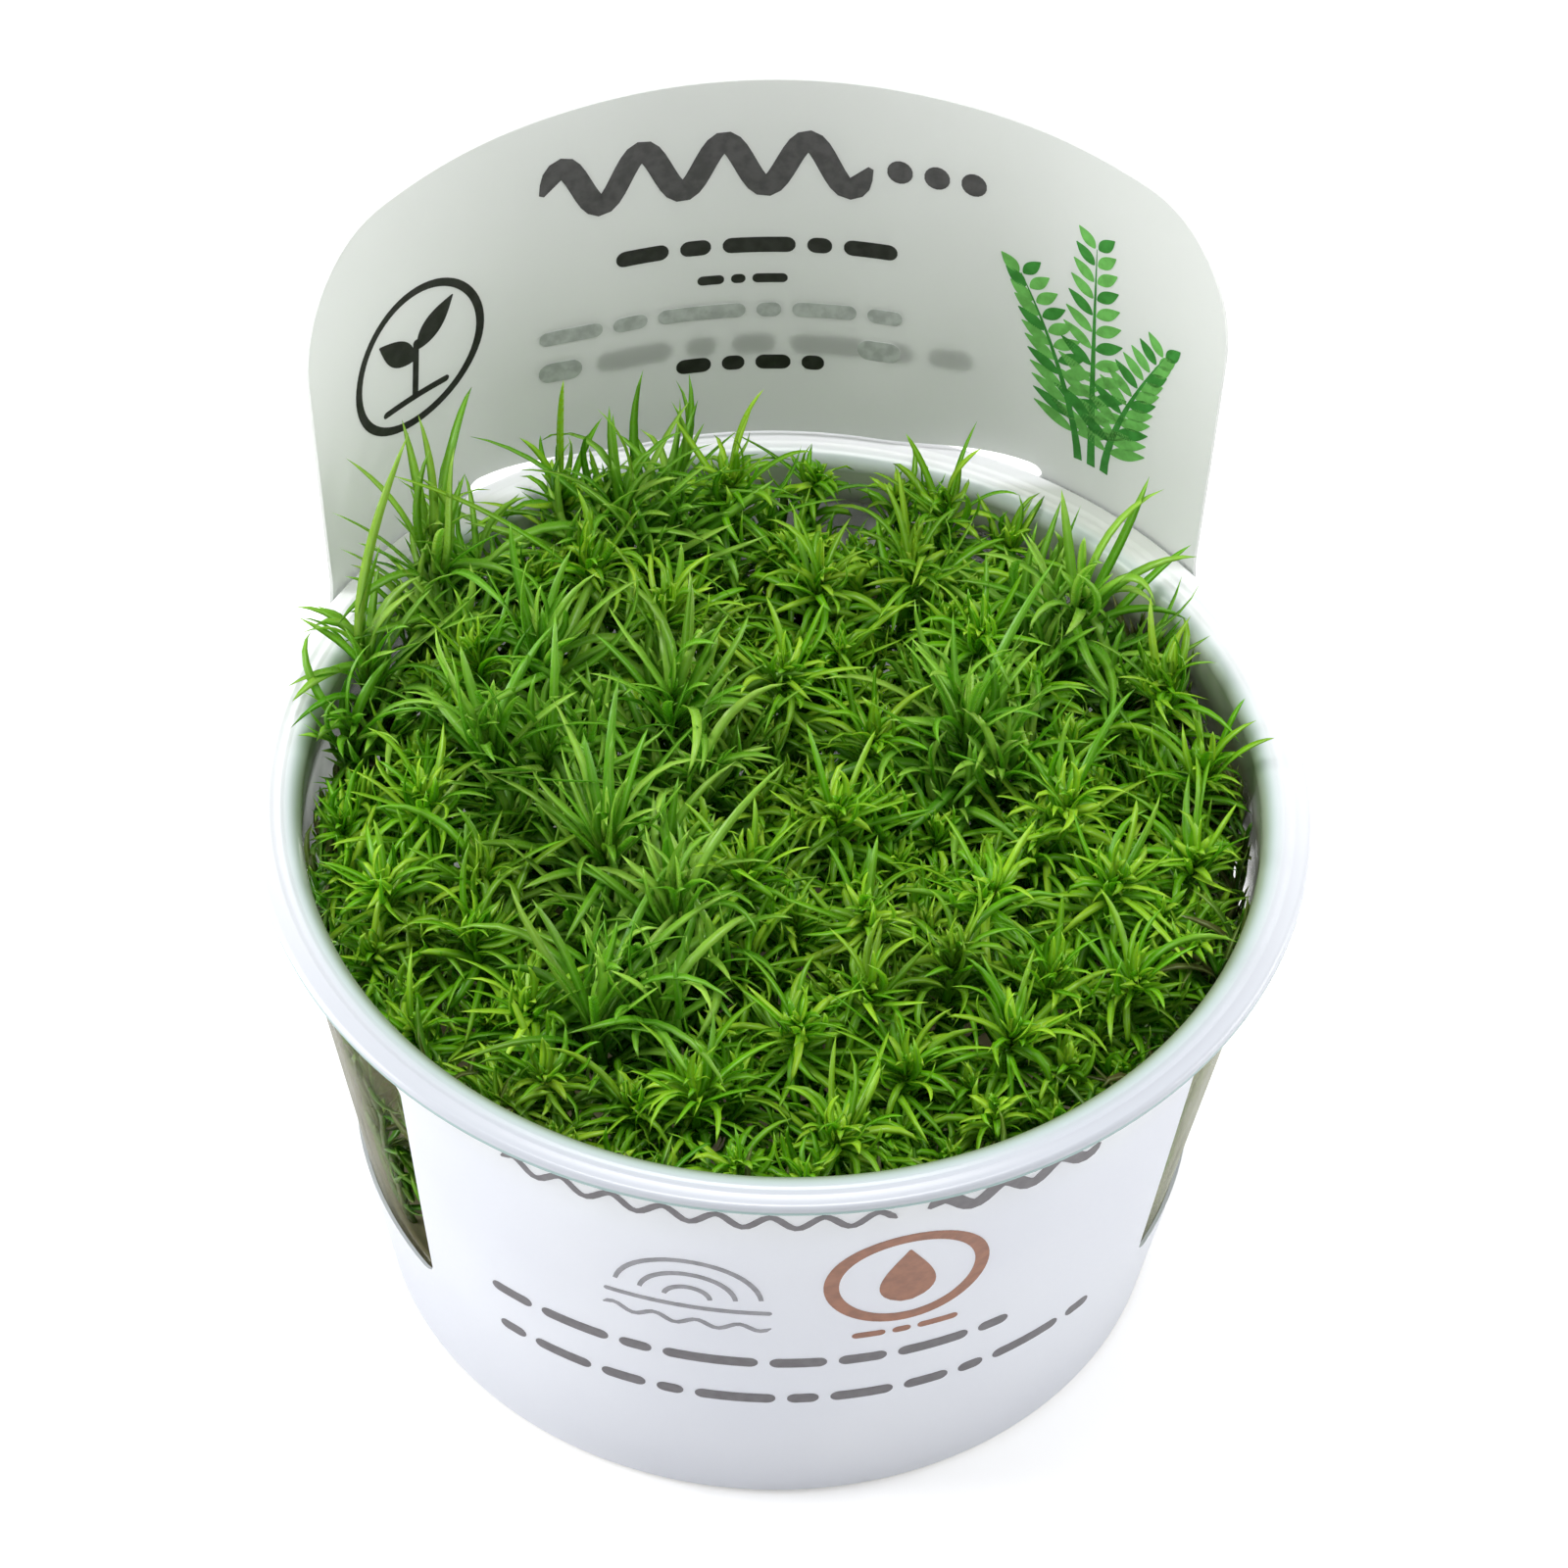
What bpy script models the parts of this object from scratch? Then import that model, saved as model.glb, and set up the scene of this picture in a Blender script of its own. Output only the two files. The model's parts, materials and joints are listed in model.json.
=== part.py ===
"""Tissue-culture water plants in a clear cup, held in a wrap-round sheet sleeve.

The cup stands on z = 0 with its axis on the Z axis. Its back, where the sleeve's tall tab
stands, is towards +Y. Lengths are written in millimetres and turned into metres where the
meshes are made.
"""
import math
import random

import bmesh
import bpy
import numpy as np
from mathutils import Vector

MM = 0.001
GAP = 0.3
SEGMENTS = 48

# Cup: a thin tapered beaker with an upright collar and a flanged rim
RIM_RADIUS = 50.0
RIM_HEIGHT = 57.0
CUP_BASE_RADIUS = 36.6
CUP_SLOPE = 0.197
COLLAR_START = 46.2
WALL = 0.8
LIP_DEPTH = 1.2
FOOT_FILLET = 2.0
RIM_FILLET = 1.6

# Culture gel set on the cup's floor
GEL_TOP = 14.5
MENISCUS = 0.7

# Sleeve: a belt round the cup, and a tab that stands up behind the rim
SHEET = 0.5
BELT_BOTTOM = 0.5
BELT_TOP = 55.4
TAB_TOP = 97.5
TAB_ARCH = 3.8
TAB_HALF_ANGLE = 55.0
TAB_NARROWING = 2.4
TAB_CORNER = 11.6
TAB_SLOPE_BY_SLOT = 0.144
FLEX_START = 42.0
SLOT_HALF_ANGLE = 33.5
SLOT_BOTTOM = 55.4
SLOT_TOP = 57.6
WINDOW_FRONT_BOTTOM_ANGLE = 56.5
WINDOW_FRONT_TOP_ANGLE = 52.0
WINDOW_BACK_ANGLE = 100.0
WINDOW_BOTTOM = 15.7
WINDOW_TOP = 51.5

# Plantlets: a stem each, with two whorls of leaves and a young leaf at the tip
STEM_RADIUS = 0.7
STEM_SIDES = 3
WHORL_BAND = 1.0
FOOT_SPREAD = 0.76
LEAF_KEEL = 0.45
WHORL_TURN = 60.0
TRIES_PER_LEAF = 60
OWN_GAP = 0.1
SEED = 20

# Leaf habits. Each whorl has its depth under the tip, the leaves' rise above level in
# degrees, their length, and how far their middles bow up, as a share of the length.
HABITS = {
    "fine": {"width": 1.0, "whorls": [(2.0, 46, 9.0, 0.14), (7.0, 18, 10.5, 0.24)], "tip": 6.0},
    "broad": {"width": 1.8, "whorls": [(2.5, 60, 14.0, 0.12), (9.5, 38, 16.0, 0.22)], "tip": 9.0},
}

# Shoots: where each tip stands (x, y and height) and its leaf habit
SHOOTS = [
    (-34, 1, 58, "fine"), (-38, -8, 56, "fine"), (5, -3, 59, "fine"), (7, -15, 58, "fine"),
    (19, -13, 58, "fine"), (15, -20, 57, "fine"), (-19, -24, 55, "broad"), (-10, -33, 54, "fine"),
    (3, -38, 53, "fine"), (32, -21, 54, "fine"), (27, -1, 57, "fine"), (39, -6, 54, "fine"),
    (-30, -14, 56, "fine"), (-29, -7, 56, "fine"), (-25, -22, 54, "fine"), (-4, -10, 59, "fine"),
    (-24, -29, 52, "fine"), (0, -27, 56, "fine"), (7, -23, 56, "fine"), (20, -27, 54, "fine"),
    (31, -10, 56, "fine"), (10, -30, 53, "fine"), (24, -21, 55, "fine"), (9, 7, 58, "fine"),
    (18, 8, 58, "broad"), (38, 14, 57, "fine"), (30, 24, 58, "broad"), (14, 27, 60, "fine"),
    (5, 25, 61, "fine"), (18, 36, 59, "fine"), (-3, 36, 63, "fine"), (-13, 34, 61, "broad"),
    (-19, 38, 60, "fine"), (-32, 29, 61, "broad"), (-17, 27, 62, "fine"), (-22, 17, 61, "broad"),
    (-10, 21, 62, "fine"), (-28, 17, 60, "fine"), (-27, 6, 60, "broad"), (-10, 10, 60, "broad"),
    (1, 14, 60, "fine"), (-39, 19, 57, "broad"), (-17, -6, 58, "broad"), (-11, -14, 57, "broad"),
    (41, 5, 54, "fine"), (20, 19, 59, "fine"),
]

# Young leaves that stand up high: the number of their shoot, and their tip
TALL_TIPS = {
    29: (21, 36, 67), 30: (0, 36, 76), 31: (-16, 34, 76), 32: (-19, 37, 77), 33: (-33, 33, 77),
    41: (-34, 28, 80),
}

# Leaves that stand out: the number of their shoot, their tip, width and upward bow
LONG_LEAVES = [
    (30, (5, 37, 66), 1.2, 2.0), (31, (-14, 41, 68), 1.6, 1.0), (32, (-23, 40, 66), 1.0, 1.0),
    (34, (-36, 29, 73), 1.8, 3.0), (41, (-46, 15, 59), 1.2, 4.0), (41, (-42, 24, 60), 1.2, 3.0),
    (26, (37, 22, 59), 1.5, 7.0), (26, (24, 26, 66), 1.2, 1.0), (25, (40, 19, 61), 1.2, 2.0),
    (28, (8, 22, 61), 1.6, 1.0), (4, (23, -10, 65), 1.8, 1.0), (6, (-11, -11, 62), 1.8, 2.0),
    (6, (-5, -15, 62), 1.6, 2.0), (20, (37, -21, 56), 1.7, 3.0),
]


def clear_scene():
    """Removes whatever the file starts with."""
    for item in list(bpy.data.objects):
        bpy.data.objects.remove(item, do_unlink=True)


def make_collection(name):
    """A collection linked to the scene."""
    collection = bpy.data.collections.new(name)
    bpy.context.scene.collection.children.link(collection)
    return collection


def make_material(name, colour, roughness, transmission=0.0, alpha=1.0):
    """A Principled material from the real surface's colour and gloss."""
    material = bpy.data.materials.new(name)
    material.use_nodes = True
    shader = material.node_tree.nodes["Principled BSDF"]
    shader.inputs["Base Color"].default_value = (*colour, 1.0)
    shader.inputs["Roughness"].default_value = roughness
    shader.inputs["Transmission Weight"].default_value = transmission
    shader.inputs["Alpha"].default_value = alpha
    material.diffuse_color = (*colour, alpha)
    return material


def add_object(name, mesh, collection, material=None):
    """Links a mesh into a collection as a named object."""
    item = bpy.data.objects.new(name, mesh)
    collection.objects.link(item)
    if material:
        mesh.materials.append(material)
    return item


def finish_bmesh(name, bm):
    """Turns a bmesh into a mesh datablock."""
    mesh = bpy.data.meshes.new(name)
    bm.to_mesh(mesh)
    bm.free()
    return mesh


# Turned pieces

def arc(centre_x, centre_z, radius, start, end, steps):
    """Points of a fillet in the profile's plane, with its angles in degrees."""
    points = []
    for step in range(steps + 1):
        angle = math.radians(start + (end - start) * step / steps)
        points.append((centre_x + radius * math.cos(angle), centre_z + radius * math.sin(angle)))
    return points


def turned(name, profile, collection, material):
    """A solid of revolution: a profile at +X, run down its outer side, with a Screw modifier."""
    bm = bmesh.new()
    verts = [bm.verts.new((x * MM, 0.0, z * MM)) for x, z in profile]
    for first, second in zip(verts, verts[1:]):
        bm.edges.new((first, second))
    item = add_object(name, finish_bmesh(name, bm), collection, material)
    screw = item.modifiers.new("Turn", "SCREW")
    screw.axis = "Z"
    screw.steps = SEGMENTS
    screw.render_steps = SEGMENTS
    screw.use_merge_vertices = True
    screw.merge_threshold = 0.00001
    screw.use_smooth_shade = True
    return item


def outer_wall(z):
    """The cup's outer radius at a height: a cone, then an upright collar."""
    return CUP_BASE_RADIUS + CUP_SLOPE * min(z, COLLAR_START)


def inner_wall(z):
    """The cup's inner radius at a height."""
    return outer_wall(z) - WALL


def cup_profile():
    """From the middle of the cup's floor up the inside, over the rim and down the outside."""
    under = RIM_HEIGHT - WALL
    lip_inner = RIM_RADIUS - WALL
    inside_top = RIM_HEIGHT - RIM_FILLET
    fillet_x = inner_wall(inside_top) + RIM_FILLET
    inner_foot = FOOT_FILLET - WALL
    profile = [(0.0, WALL)]
    profile += arc(inner_wall(FOOT_FILLET) - inner_foot, FOOT_FILLET, inner_foot, -90, 0, 2)
    profile += [(inner_wall(COLLAR_START), COLLAR_START)]
    profile += arc(fillet_x, inside_top, RIM_FILLET, 180, 90, 3)
    profile += arc(RIM_RADIUS - WALL, RIM_HEIGHT - WALL, WALL, 90, 0, 2)
    profile += [(RIM_RADIUS, RIM_HEIGHT - LIP_DEPTH), (lip_inner, RIM_HEIGHT - LIP_DEPTH)]
    profile += [(lip_inner, under)]
    profile += arc(fillet_x, inside_top, RIM_FILLET - WALL, 90, 180, 1)
    profile += [(outer_wall(COLLAR_START), COLLAR_START)]
    profile += arc(outer_wall(FOOT_FILLET) - FOOT_FILLET, FOOT_FILLET, FOOT_FILLET, 0, -90, 2)
    profile += [(0.0, 0.0)]
    return profile


def make_cup(collection):
    """The clear cup."""
    clear = make_material("clear_plastic", (0.9, 0.93, 0.92), 0.08, transmission=0.9, alpha=0.35)
    return turned("cup", cup_profile(), collection, clear)


def make_gel(collection):
    """The culture gel, with a meniscus that climbs the cup's wall a little."""
    brown = make_material("gel", (0.42, 0.38, 0.24), 0.2, transmission=0.6)
    bottom = WALL + GAP
    edge_top = GEL_TOP + MENISCUS
    shoulder = bottom + FOOT_FILLET
    profile = [(0.0, GEL_TOP), (inner_wall(GEL_TOP) - 4.0, GEL_TOP)]
    profile += [(inner_wall(edge_top) - GAP, edge_top)]
    profile += [(inner_wall(shoulder) - GAP, shoulder)]
    profile += [(inner_wall(bottom) - FOOT_FILLET, bottom), (0.0, bottom)]
    return turned("growth_gel", profile, collection, brown)


# Sleeve

def ease(value, start, end):
    """A smooth step from 0 at start to 1 at end."""
    t = min(max((value - start) / (end - start), 0.0), 1.0)
    return t * t * (3.0 - 2.0 * t)


def sleeve_radius(angle, z):
    """The sheet's inner radius at an angle in degrees from the back.

    The sheet is one straight cone. Beside the slot it is flexed out to pass behind the flange.
    """
    cone = CUP_BASE_RADIUS + GAP + CUP_SLOPE * z
    behind_flange = RIM_RADIUS + GAP + 0.05 + TAB_SLOPE_BY_SLOT * max(z - SLOT_TOP, 0.0)
    flex = max(behind_flange - cone, 0.0) * ease(z, FLEX_START, BELT_TOP)
    side = abs(angle)
    share = ease(side, 14.0, SLOT_HALF_ANGLE - 1.5) - ease(side, TAB_HALF_ANGLE, 78.0)
    return cone + flex * share


def tab_half_angle(z):
    """How far the tab reaches round from the back at a height."""
    return TAB_HALF_ANGLE - TAB_NARROWING * (z - BELT_TOP) / (TAB_TOP - BELT_TOP)


def tab_height(share):
    """The height of the tab's upper edge, a shallow arch with two rounded corners.

    The share runs from -1 at one side of the tab to 1 at the other.
    """
    half = math.radians(tab_half_angle(TAB_TOP)) * sleeve_radius(0.0, TAB_TOP)
    inset = max(TAB_CORNER - half * (1.0 - abs(share)), 0.0)
    drop = TAB_CORNER - math.sqrt(TAB_CORNER ** 2 - inset ** 2)
    return TAB_TOP - TAB_ARCH * share ** 2 - drop


def sheet_point(angle, z):
    """A point of the sheet's inner face."""
    radius = sleeve_radius(angle, z)
    turn = math.radians(angle)
    return (radius * math.sin(turn) * MM, radius * math.cos(turn) * MM, z * MM)


def sleeve_sheet():
    """The sleeve's inner face: a closed belt, and the tab's rows above it."""
    half = [0.09, 0.18, 0.27, 0.36, 0.45, 0.54, 0.63, 0.72, 0.8, 0.87, 0.93, 0.97, 0.99, 1.0]
    tab_columns = [-share for share in reversed(half)] + [0.0] + half
    rest_steps = 34
    rest_span = 360.0 - 2.0 * TAB_HALF_ANGLE
    rest = [TAB_HALF_ANGLE + rest_span * step / rest_steps for step in range(1, rest_steps)]
    belt_rows = [BELT_BOTTOM, FLEX_START, 46.0, 50.5, BELT_TOP]
    tab_rows = [(SLOT_TOP - BELT_TOP) / (TAB_TOP - BELT_TOP), 0.3, 0.65, 1.0]

    bm = bmesh.new()
    belt = []
    tab_angles = [share * TAB_HALF_ANGLE for share in tab_columns]
    for angle in tab_angles + [angle if angle < 180.0 else angle - 360.0 for angle in rest]:
        belt.append([bm.verts.new(sheet_point(angle, z)) for z in belt_rows])
    for left, right in zip(belt, belt[1:] + belt[:1]):
        for row in range(len(belt_rows) - 1):
            bm.faces.new((left[row], left[row + 1], right[row + 1], right[row]))

    tab = []
    for column, share in zip(belt, tab_columns):
        top = tab_height(share)
        heights = [BELT_TOP + row * (top - BELT_TOP) for row in tab_rows]
        points = [sheet_point(share * tab_half_angle(z), z) for z in heights]
        tab.append([column[-1]] + [bm.verts.new(point) for point in points])
    for left, right in zip(tab, tab[1:]):
        for row in range(len(tab_rows)):
            bm.faces.new((left[row], left[row + 1], right[row + 1], right[row]))
    bmesh.ops.recalc_face_normals(bm, faces=bm.faces)
    return finish_bmesh("sleeve", bm)


def add_cutter(name, bm, collection):
    """A hidden solid that only cuts."""
    cutter = add_object(name, finish_bmesh(name, bm), collection)
    cutter.hide_render = True
    cutter.display_type = "WIRE"
    return cutter


def round_long_edges(bm, radius):
    """Rounds the four edges of a box that run along its Y axis."""
    edges = [e for e in bm.edges if abs(e.verts[0].co.y - e.verts[1].co.y) > 0.5 * MM]
    bmesh.ops.bevel(bm, geom=edges, offset=radius * MM, segments=4, profile=0.5, affect="EDGES")


def slot_cutter(collection):
    """A round-ended bar through the back of the sleeve, level with the cup's flange."""
    half_width = RIM_RADIUS * math.sin(math.radians(SLOT_HALF_ANGLE))
    height = SLOT_TOP - SLOT_BOTTOM
    bm = bmesh.new()
    bmesh.ops.create_cube(bm, size=1.0)
    bmesh.ops.scale(bm, vec=(2.0 * half_width * MM, 30.0 * MM, height * MM), verts=bm.verts)
    bmesh.ops.translate(bm, vec=(0.0, 50.0 * MM, (SLOT_BOTTOM + height / 2.0) * MM), verts=bm.verts)
    round_long_edges(bm, height / 2.0 - 0.1)
    return add_cutter("slot_cutter", bm, collection)


def window_cutter(side, collection):
    """A tapered bar through one side of the belt, wider at the top as the cone is."""
    middle = (WINDOW_FRONT_BOTTOM_ANGLE + WINDOW_BACK_ANGLE) / 2.0
    bm = bmesh.new()
    bmesh.ops.create_cube(bm, size=1.0)
    for vert in bm.verts:
        upper = vert.co.z > 0.0
        z = WINDOW_TOP if upper else WINDOW_BOTTOM
        front = WINDOW_FRONT_TOP_ANGLE if upper else WINDOW_FRONT_BOTTOM_ANGLE
        edge = front if vert.co.x * side > 0.0 else WINDOW_BACK_ANGLE
        x = sleeve_radius(180.0, z) * math.sin(math.radians(middle - edge)) * side
        vert.co = (x * MM, (45.0 + 30.0 * vert.co.y) * MM, z * MM)
    round_long_edges(bm, 2.0)
    cutter = add_cutter("window_cutter_" + ("right" if side > 0 else "left"), bm, collection)
    cutter.rotation_euler.z = -side * math.radians(180.0 - middle)
    return cutter


def make_sleeve(collection, cutters):
    """The white sheet, thickened outwards and cut for the slot and both windows."""
    white = make_material("white_sheet", (0.86, 0.87, 0.88), 0.45)
    sleeve = add_object("sleeve", sleeve_sheet(), collection, white)
    thickness = sleeve.modifiers.new("Sheet", "SOLIDIFY")
    thickness.thickness = SHEET * MM
    thickness.offset = 1.0
    thickness.use_even_offset = True
    for cutter in [slot_cutter(cutters), window_cutter(1, cutters), window_cutter(-1, cutters)]:
        cut = sleeve.modifiers.new("Cut " + cutter.name, "BOOLEAN")
        cut.operation = "DIFFERENCE"
        cut.solver = "EXACT"
        cut.object = cutter
    return sleeve


# Plantlets

class Leaf:
    """One leaf: a curve from its base to its tip whose middle is bowed upwards."""

    def __init__(self, base, tip, bow, width):
        self.base = Vector(base)
        self.tip = Vector(tip)
        self.knee = (self.base + self.tip) / 2.0 + Vector((0.0, 0.0, bow))
        self.width = width

    def point(self, t):
        """The curve's point at a share of the way to the tip."""
        return self.base * (1 - t) ** 2 + self.knee * (2 * t * (1 - t)) + self.tip * t ** 2

    def frame(self, t):
        """The leaf's side and face directions at a share of the way to the tip."""
        along = (self.knee - self.base) * (1 - t) + (self.tip - self.knee) * t
        outward = Vector((self.tip.x - self.base.x, self.tip.y - self.base.y, 0.0))
        side = Vector((0.0, 0.0, 1.0)).cross(outward).normalized()
        return side, along.cross(side).normalized()


class Obstacles:
    """The leaves and stems placed so far, as round bars."""

    def __init__(self):
        self.starts = []
        self.ends = []
        self.radii = []
        self.owners = []

    def add(self, start, end, radius, owner):
        """Keeps one bar."""
        self.starts.append(tuple(start))
        self.ends.append(tuple(end))
        self.radii.append(radius)
        self.owners.append(owner)

    def room(self, start, end, radius, owner, own=False):
        """The smallest clearance from a bar to those of other plantlets, or of its own."""
        asked = (np.array(self.owners) == owner) == own
        first = np.array(self.starts)[asked]
        second = np.array(self.ends)[asked]
        gaps = bar_distances(np.array(start), np.array(end), first, second)
        return float(np.min(gaps - np.array(self.radii)[asked] - radius))


def bar_distances(start, end, starts, ends):
    """The shortest distance from one line segment to each of many."""
    own = end - start
    other = ends - starts
    between = start - starts
    own_square = own @ own
    other_square = np.sum(other * other, axis=1)
    cross = other @ own
    own_offset = between @ own
    other_offset = np.sum(other * between, axis=1)
    spread = np.maximum(own_square * other_square - cross * cross, 1e-9)
    s = np.clip((cross * other_offset - own_offset * other_square) / spread, 0.0, 1.0)
    t = np.clip((cross * s + other_offset) / other_square, 0.0, 1.0)
    s = np.clip((cross * t - own_offset) / own_square, 0.0, 1.0)
    nearest = start + s[:, None] * own - (starts + t[:, None] * other)
    return np.linalg.norm(nearest, axis=1)


def inside_cup(point, margin):
    """True where a leaf this wide clears the cup's wall, its flange and the tab."""
    radius = math.hypot(point.x, point.y) + margin
    if point.z < RIM_HEIGHT + GAP + margin:
        return radius < inner_wall(point.z) - GAP
    angle = math.degrees(math.atan2(point.x, point.y))
    if abs(angle) < TAB_HALF_ANGLE + 8.0:
        return radius < sleeve_radius(angle, point.z) - GAP
    return radius < RIM_RADIUS


def leaf_fits(leaf, owner, obstacles):
    """True when the leaf is clear of the cup, of every other plantlet and of its own."""
    half = leaf.width / 2.0
    if not all(inside_cup(leaf.point(t), half) for t in (0.3, 0.5, 0.75, 1.0)):
        return False
    middle = leaf.point(0.45)
    inner = obstacles.room(leaf.point(0.08), middle, half, owner)
    outer = obstacles.room(middle, leaf.tip, half * 0.7, owner)
    if min(inner, outer) < GAP:
        return False
    own_inner = obstacles.room(leaf.point(0.3), middle, half, owner, own=True)
    own_outer = obstacles.room(middle, leaf.tip, half * 0.7, owner, own=True)
    return min(own_inner, own_outer) > OWN_GAP


def keep_leaf(leaf, owner, obstacles):
    """Makes a placed leaf an obstacle for the ones that follow."""
    middle = leaf.point(0.45)
    obstacles.add(leaf.base, middle, leaf.width / 2.0, owner)
    obstacles.add(middle, leaf.tip, leaf.width * 0.35, owner)


def grow_leaf(rng, base, azimuth, rise, length, bow, width, owner, obstacles):
    """Looks for a free direction near the wished one, and shortens the leaf if need be."""
    for attempt in range(TRIES_PER_LEAF):
        slack = attempt / TRIES_PER_LEAF
        turn = math.radians(azimuth + rng.uniform(-12, 12) * (1 + slack))
        lift = math.radians(rise + rng.uniform(-12, 12) + rng.uniform(-20, 30) * slack)
        size = length * rng.uniform(0.85, 1.2) * (1.0 - 0.5 * slack)
        reach = size * math.cos(lift)
        climb = size * math.sin(lift)
        tip = base + Vector((reach * math.cos(turn), reach * math.sin(turn), climb))
        leaf = Leaf(base, tip, bow * size, width * rng.uniform(0.85, 1.15))
        if leaf_fits(leaf, owner, obstacles):
            return leaf
    return None


def stem_points(shoot):
    """A stem's foot on the gel and its tip, leaning outwards as the cup widens."""
    x, y, height, _ = shoot
    foot = Vector((x * FOOT_SPREAD, y * FOOT_SPREAD, GEL_TOP + GAP))
    return foot, Vector((x, y, height))


def young_tip(number):
    """The tip of a shoot's youngest leaf, which stands on the end of its stem."""
    x, y, height, habit = SHOOTS[number]
    return Vector(TALL_TIPS.get(number, (x, y, height + HABITS[habit]["tip"])))


def whorl_base(shoot, depth):
    """The stem's point at a depth under its tip."""
    foot, tip = stem_points(shoot)
    return tip + (foot - tip) * (depth / (tip.z - foot.z))


def face_azimuths(first):
    """Where the six leaves of a whorl point: two for each side of the stem."""
    step = 360.0 / STEM_SIDES
    return [first + step * side + turn for side in range(STEM_SIDES) for turn in (-30.0, 30.0)]


def place_leaves():
    """Places every leaf: the long ones first, then the whorls from the tips down.

    Gives a dictionary from (shoot, whorl, slot) to Leaf.
    """
    rng = random.Random(SEED)
    obstacles = Obstacles()
    placed = {}
    turns = [rng.uniform(0.0, 120.0) for _ in SHOOTS]
    for number, shoot in enumerate(SHOOTS):
        foot, tip = stem_points(shoot)
        obstacles.add(foot, tip, STEM_RADIUS, number)
        obstacles.add(tip, young_tip(number), 0.5 * STEM_RADIUS, number)

    for number, tip, width, bow in LONG_LEAVES:
        base = whorl_base(SHOOTS[number], 2.0)
        leaf = Leaf(base, tip, bow, width)
        azimuth = math.degrees(math.atan2(tip[1] - base.y, tip[0] - base.x))
        free = [slot for slot in range(2 * STEM_SIDES) if (number, 0, slot) not in placed]
        slot = min(free, key=lambda s: angle_apart(face_azimuths(turns[number])[s], azimuth))
        placed[number, 0, slot] = leaf
        keep_leaf(leaf, number, obstacles)

    for whorl in range(2):
        for number, shoot in enumerate(SHOOTS):
            habit = HABITS[shoot[3]]
            depth, rise, length, bow = habit["whorls"][whorl]
            base = whorl_base(shoot, depth)
            for slot, azimuth in enumerate(face_azimuths(turns[number] + WHORL_TURN * whorl)):
                if (number, whorl, slot) in placed:
                    continue
                leaf = grow_leaf(rng, base, azimuth, rise, length, bow, habit["width"],
                                 number, obstacles)
                if leaf:
                    placed[number, whorl, slot] = leaf
                    keep_leaf(leaf, number, obstacles)
    return placed, turns


def angle_apart(first, second):
    """The angle between two directions in degrees."""
    return abs((first - second + 180.0) % 360.0 - 180.0)


def stem_ring(bm, centre, azimuth):
    """The stem's corners at one point, with the first side facing the azimuth."""
    step = 360.0 / STEM_SIDES
    ring = []
    for corner in range(STEM_SIDES):
        angle = math.radians(azimuth + step * (corner - 0.5))
        offset = Vector((math.cos(angle), math.sin(angle), 0.0)) * STEM_RADIUS
        ring.append(bm.verts.new((centre + offset) * MM))
    return ring


def stem_band(bm, lower, upper):
    """The triangles between two rings: two for each side, in the order of the azimuths."""
    faces = []
    for corner in range(STEM_SIDES):
        after = (corner + 1) % STEM_SIDES
        faces.append(bm.faces.new((lower[corner], upper[after], upper[corner])))
        faces.append(bm.faces.new((lower[corner], lower[after], upper[after])))
    return faces


def draw_leaf(bm, face, leaf):
    """Draws one triangle of the stem out along the leaf, and to a point at its tip."""
    wide = bmesh.ops.extrude_discrete_faces(bm, faces=[face])["faces"][0]
    side, normal = leaf.frame(0.45)
    middle = leaf.point(0.45)
    low, between, high = sorted(wide.verts, key=lambda vert: vert.co.z)
    keel_down = between.co.z - low.co.z > high.co.z - between.co.z
    keel = low if keel_down else high
    pair = sorted((v for v in wide.verts if v is not keel), key=lambda vert: vert.co.dot(side))
    pair[0].co = (middle - side * leaf.width / 2.0) * MM
    pair[1].co = (middle + side * leaf.width / 2.0) * MM
    keel.co = (middle + normal * (-LEAF_KEEL if keel_down else LEAF_KEEL)) * MM
    bmesh.ops.poke(bm, faces=[wide])["verts"][0].co = leaf.tip * MM


def plantlet_mesh(number, turn, placed):
    """One plantlet as one closed body: its stem, with the whorls drawn out of its sides."""
    shoot = SHOOTS[number]
    habit = HABITS[shoot[3]]
    foot, tip = stem_points(shoot)
    bm = bmesh.new()
    lower_turn = turn + WHORL_TURN
    rings = [stem_ring(bm, foot, lower_turn)]
    for whorl, azimuth in ((1, lower_turn), (0, turn)):
        depth = habit["whorls"][whorl][0]
        for edge in (WHORL_BAND / 2.0, -WHORL_BAND / 2.0):
            rings.append(stem_ring(bm, whorl_base(shoot, depth + edge), azimuth))
    rings.append(stem_ring(bm, tip, turn))
    bands = [stem_band(bm, lower, upper) for lower, upper in zip(rings, rings[1:])]
    bm.faces.new(rings[0][::-1])
    young_leaf = bm.faces.new(rings[-1])
    bmesh.ops.poke(bm, faces=[young_leaf])["verts"][0].co = young_tip(number) * MM
    for whorl, band in ((1, bands[1]), (0, bands[3])):
        for slot, face in enumerate(band):
            if (number, whorl, slot) in placed:
                draw_leaf(bm, face, placed[number, whorl, slot])
    return finish_bmesh("plantlet_%02d" % (number + 1), bm)


def make_plantlets(collection):
    """All the plantlets, each one its own object."""
    greens = {
        "fine": make_material("fine_leaf", (0.25, 0.48, 0.06), 0.4),
        "broad": make_material("broad_leaf", (0.16, 0.4, 0.04), 0.35),
    }
    placed, turns = place_leaves()
    for number, shoot in enumerate(SHOOTS):
        mesh = plantlet_mesh(number, turns[number], placed)
        add_object(mesh.name, mesh, collection, greens[shoot[3]])


def main():
    """Builds the whole object."""
    clear_scene()
    parts = make_collection("tissue_culture_plant_cup")
    cutters = make_collection("cutters")
    make_cup(parts)
    make_gel(parts)
    make_sleeve(parts, cutters)
    make_plantlets(parts)


main()
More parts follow.
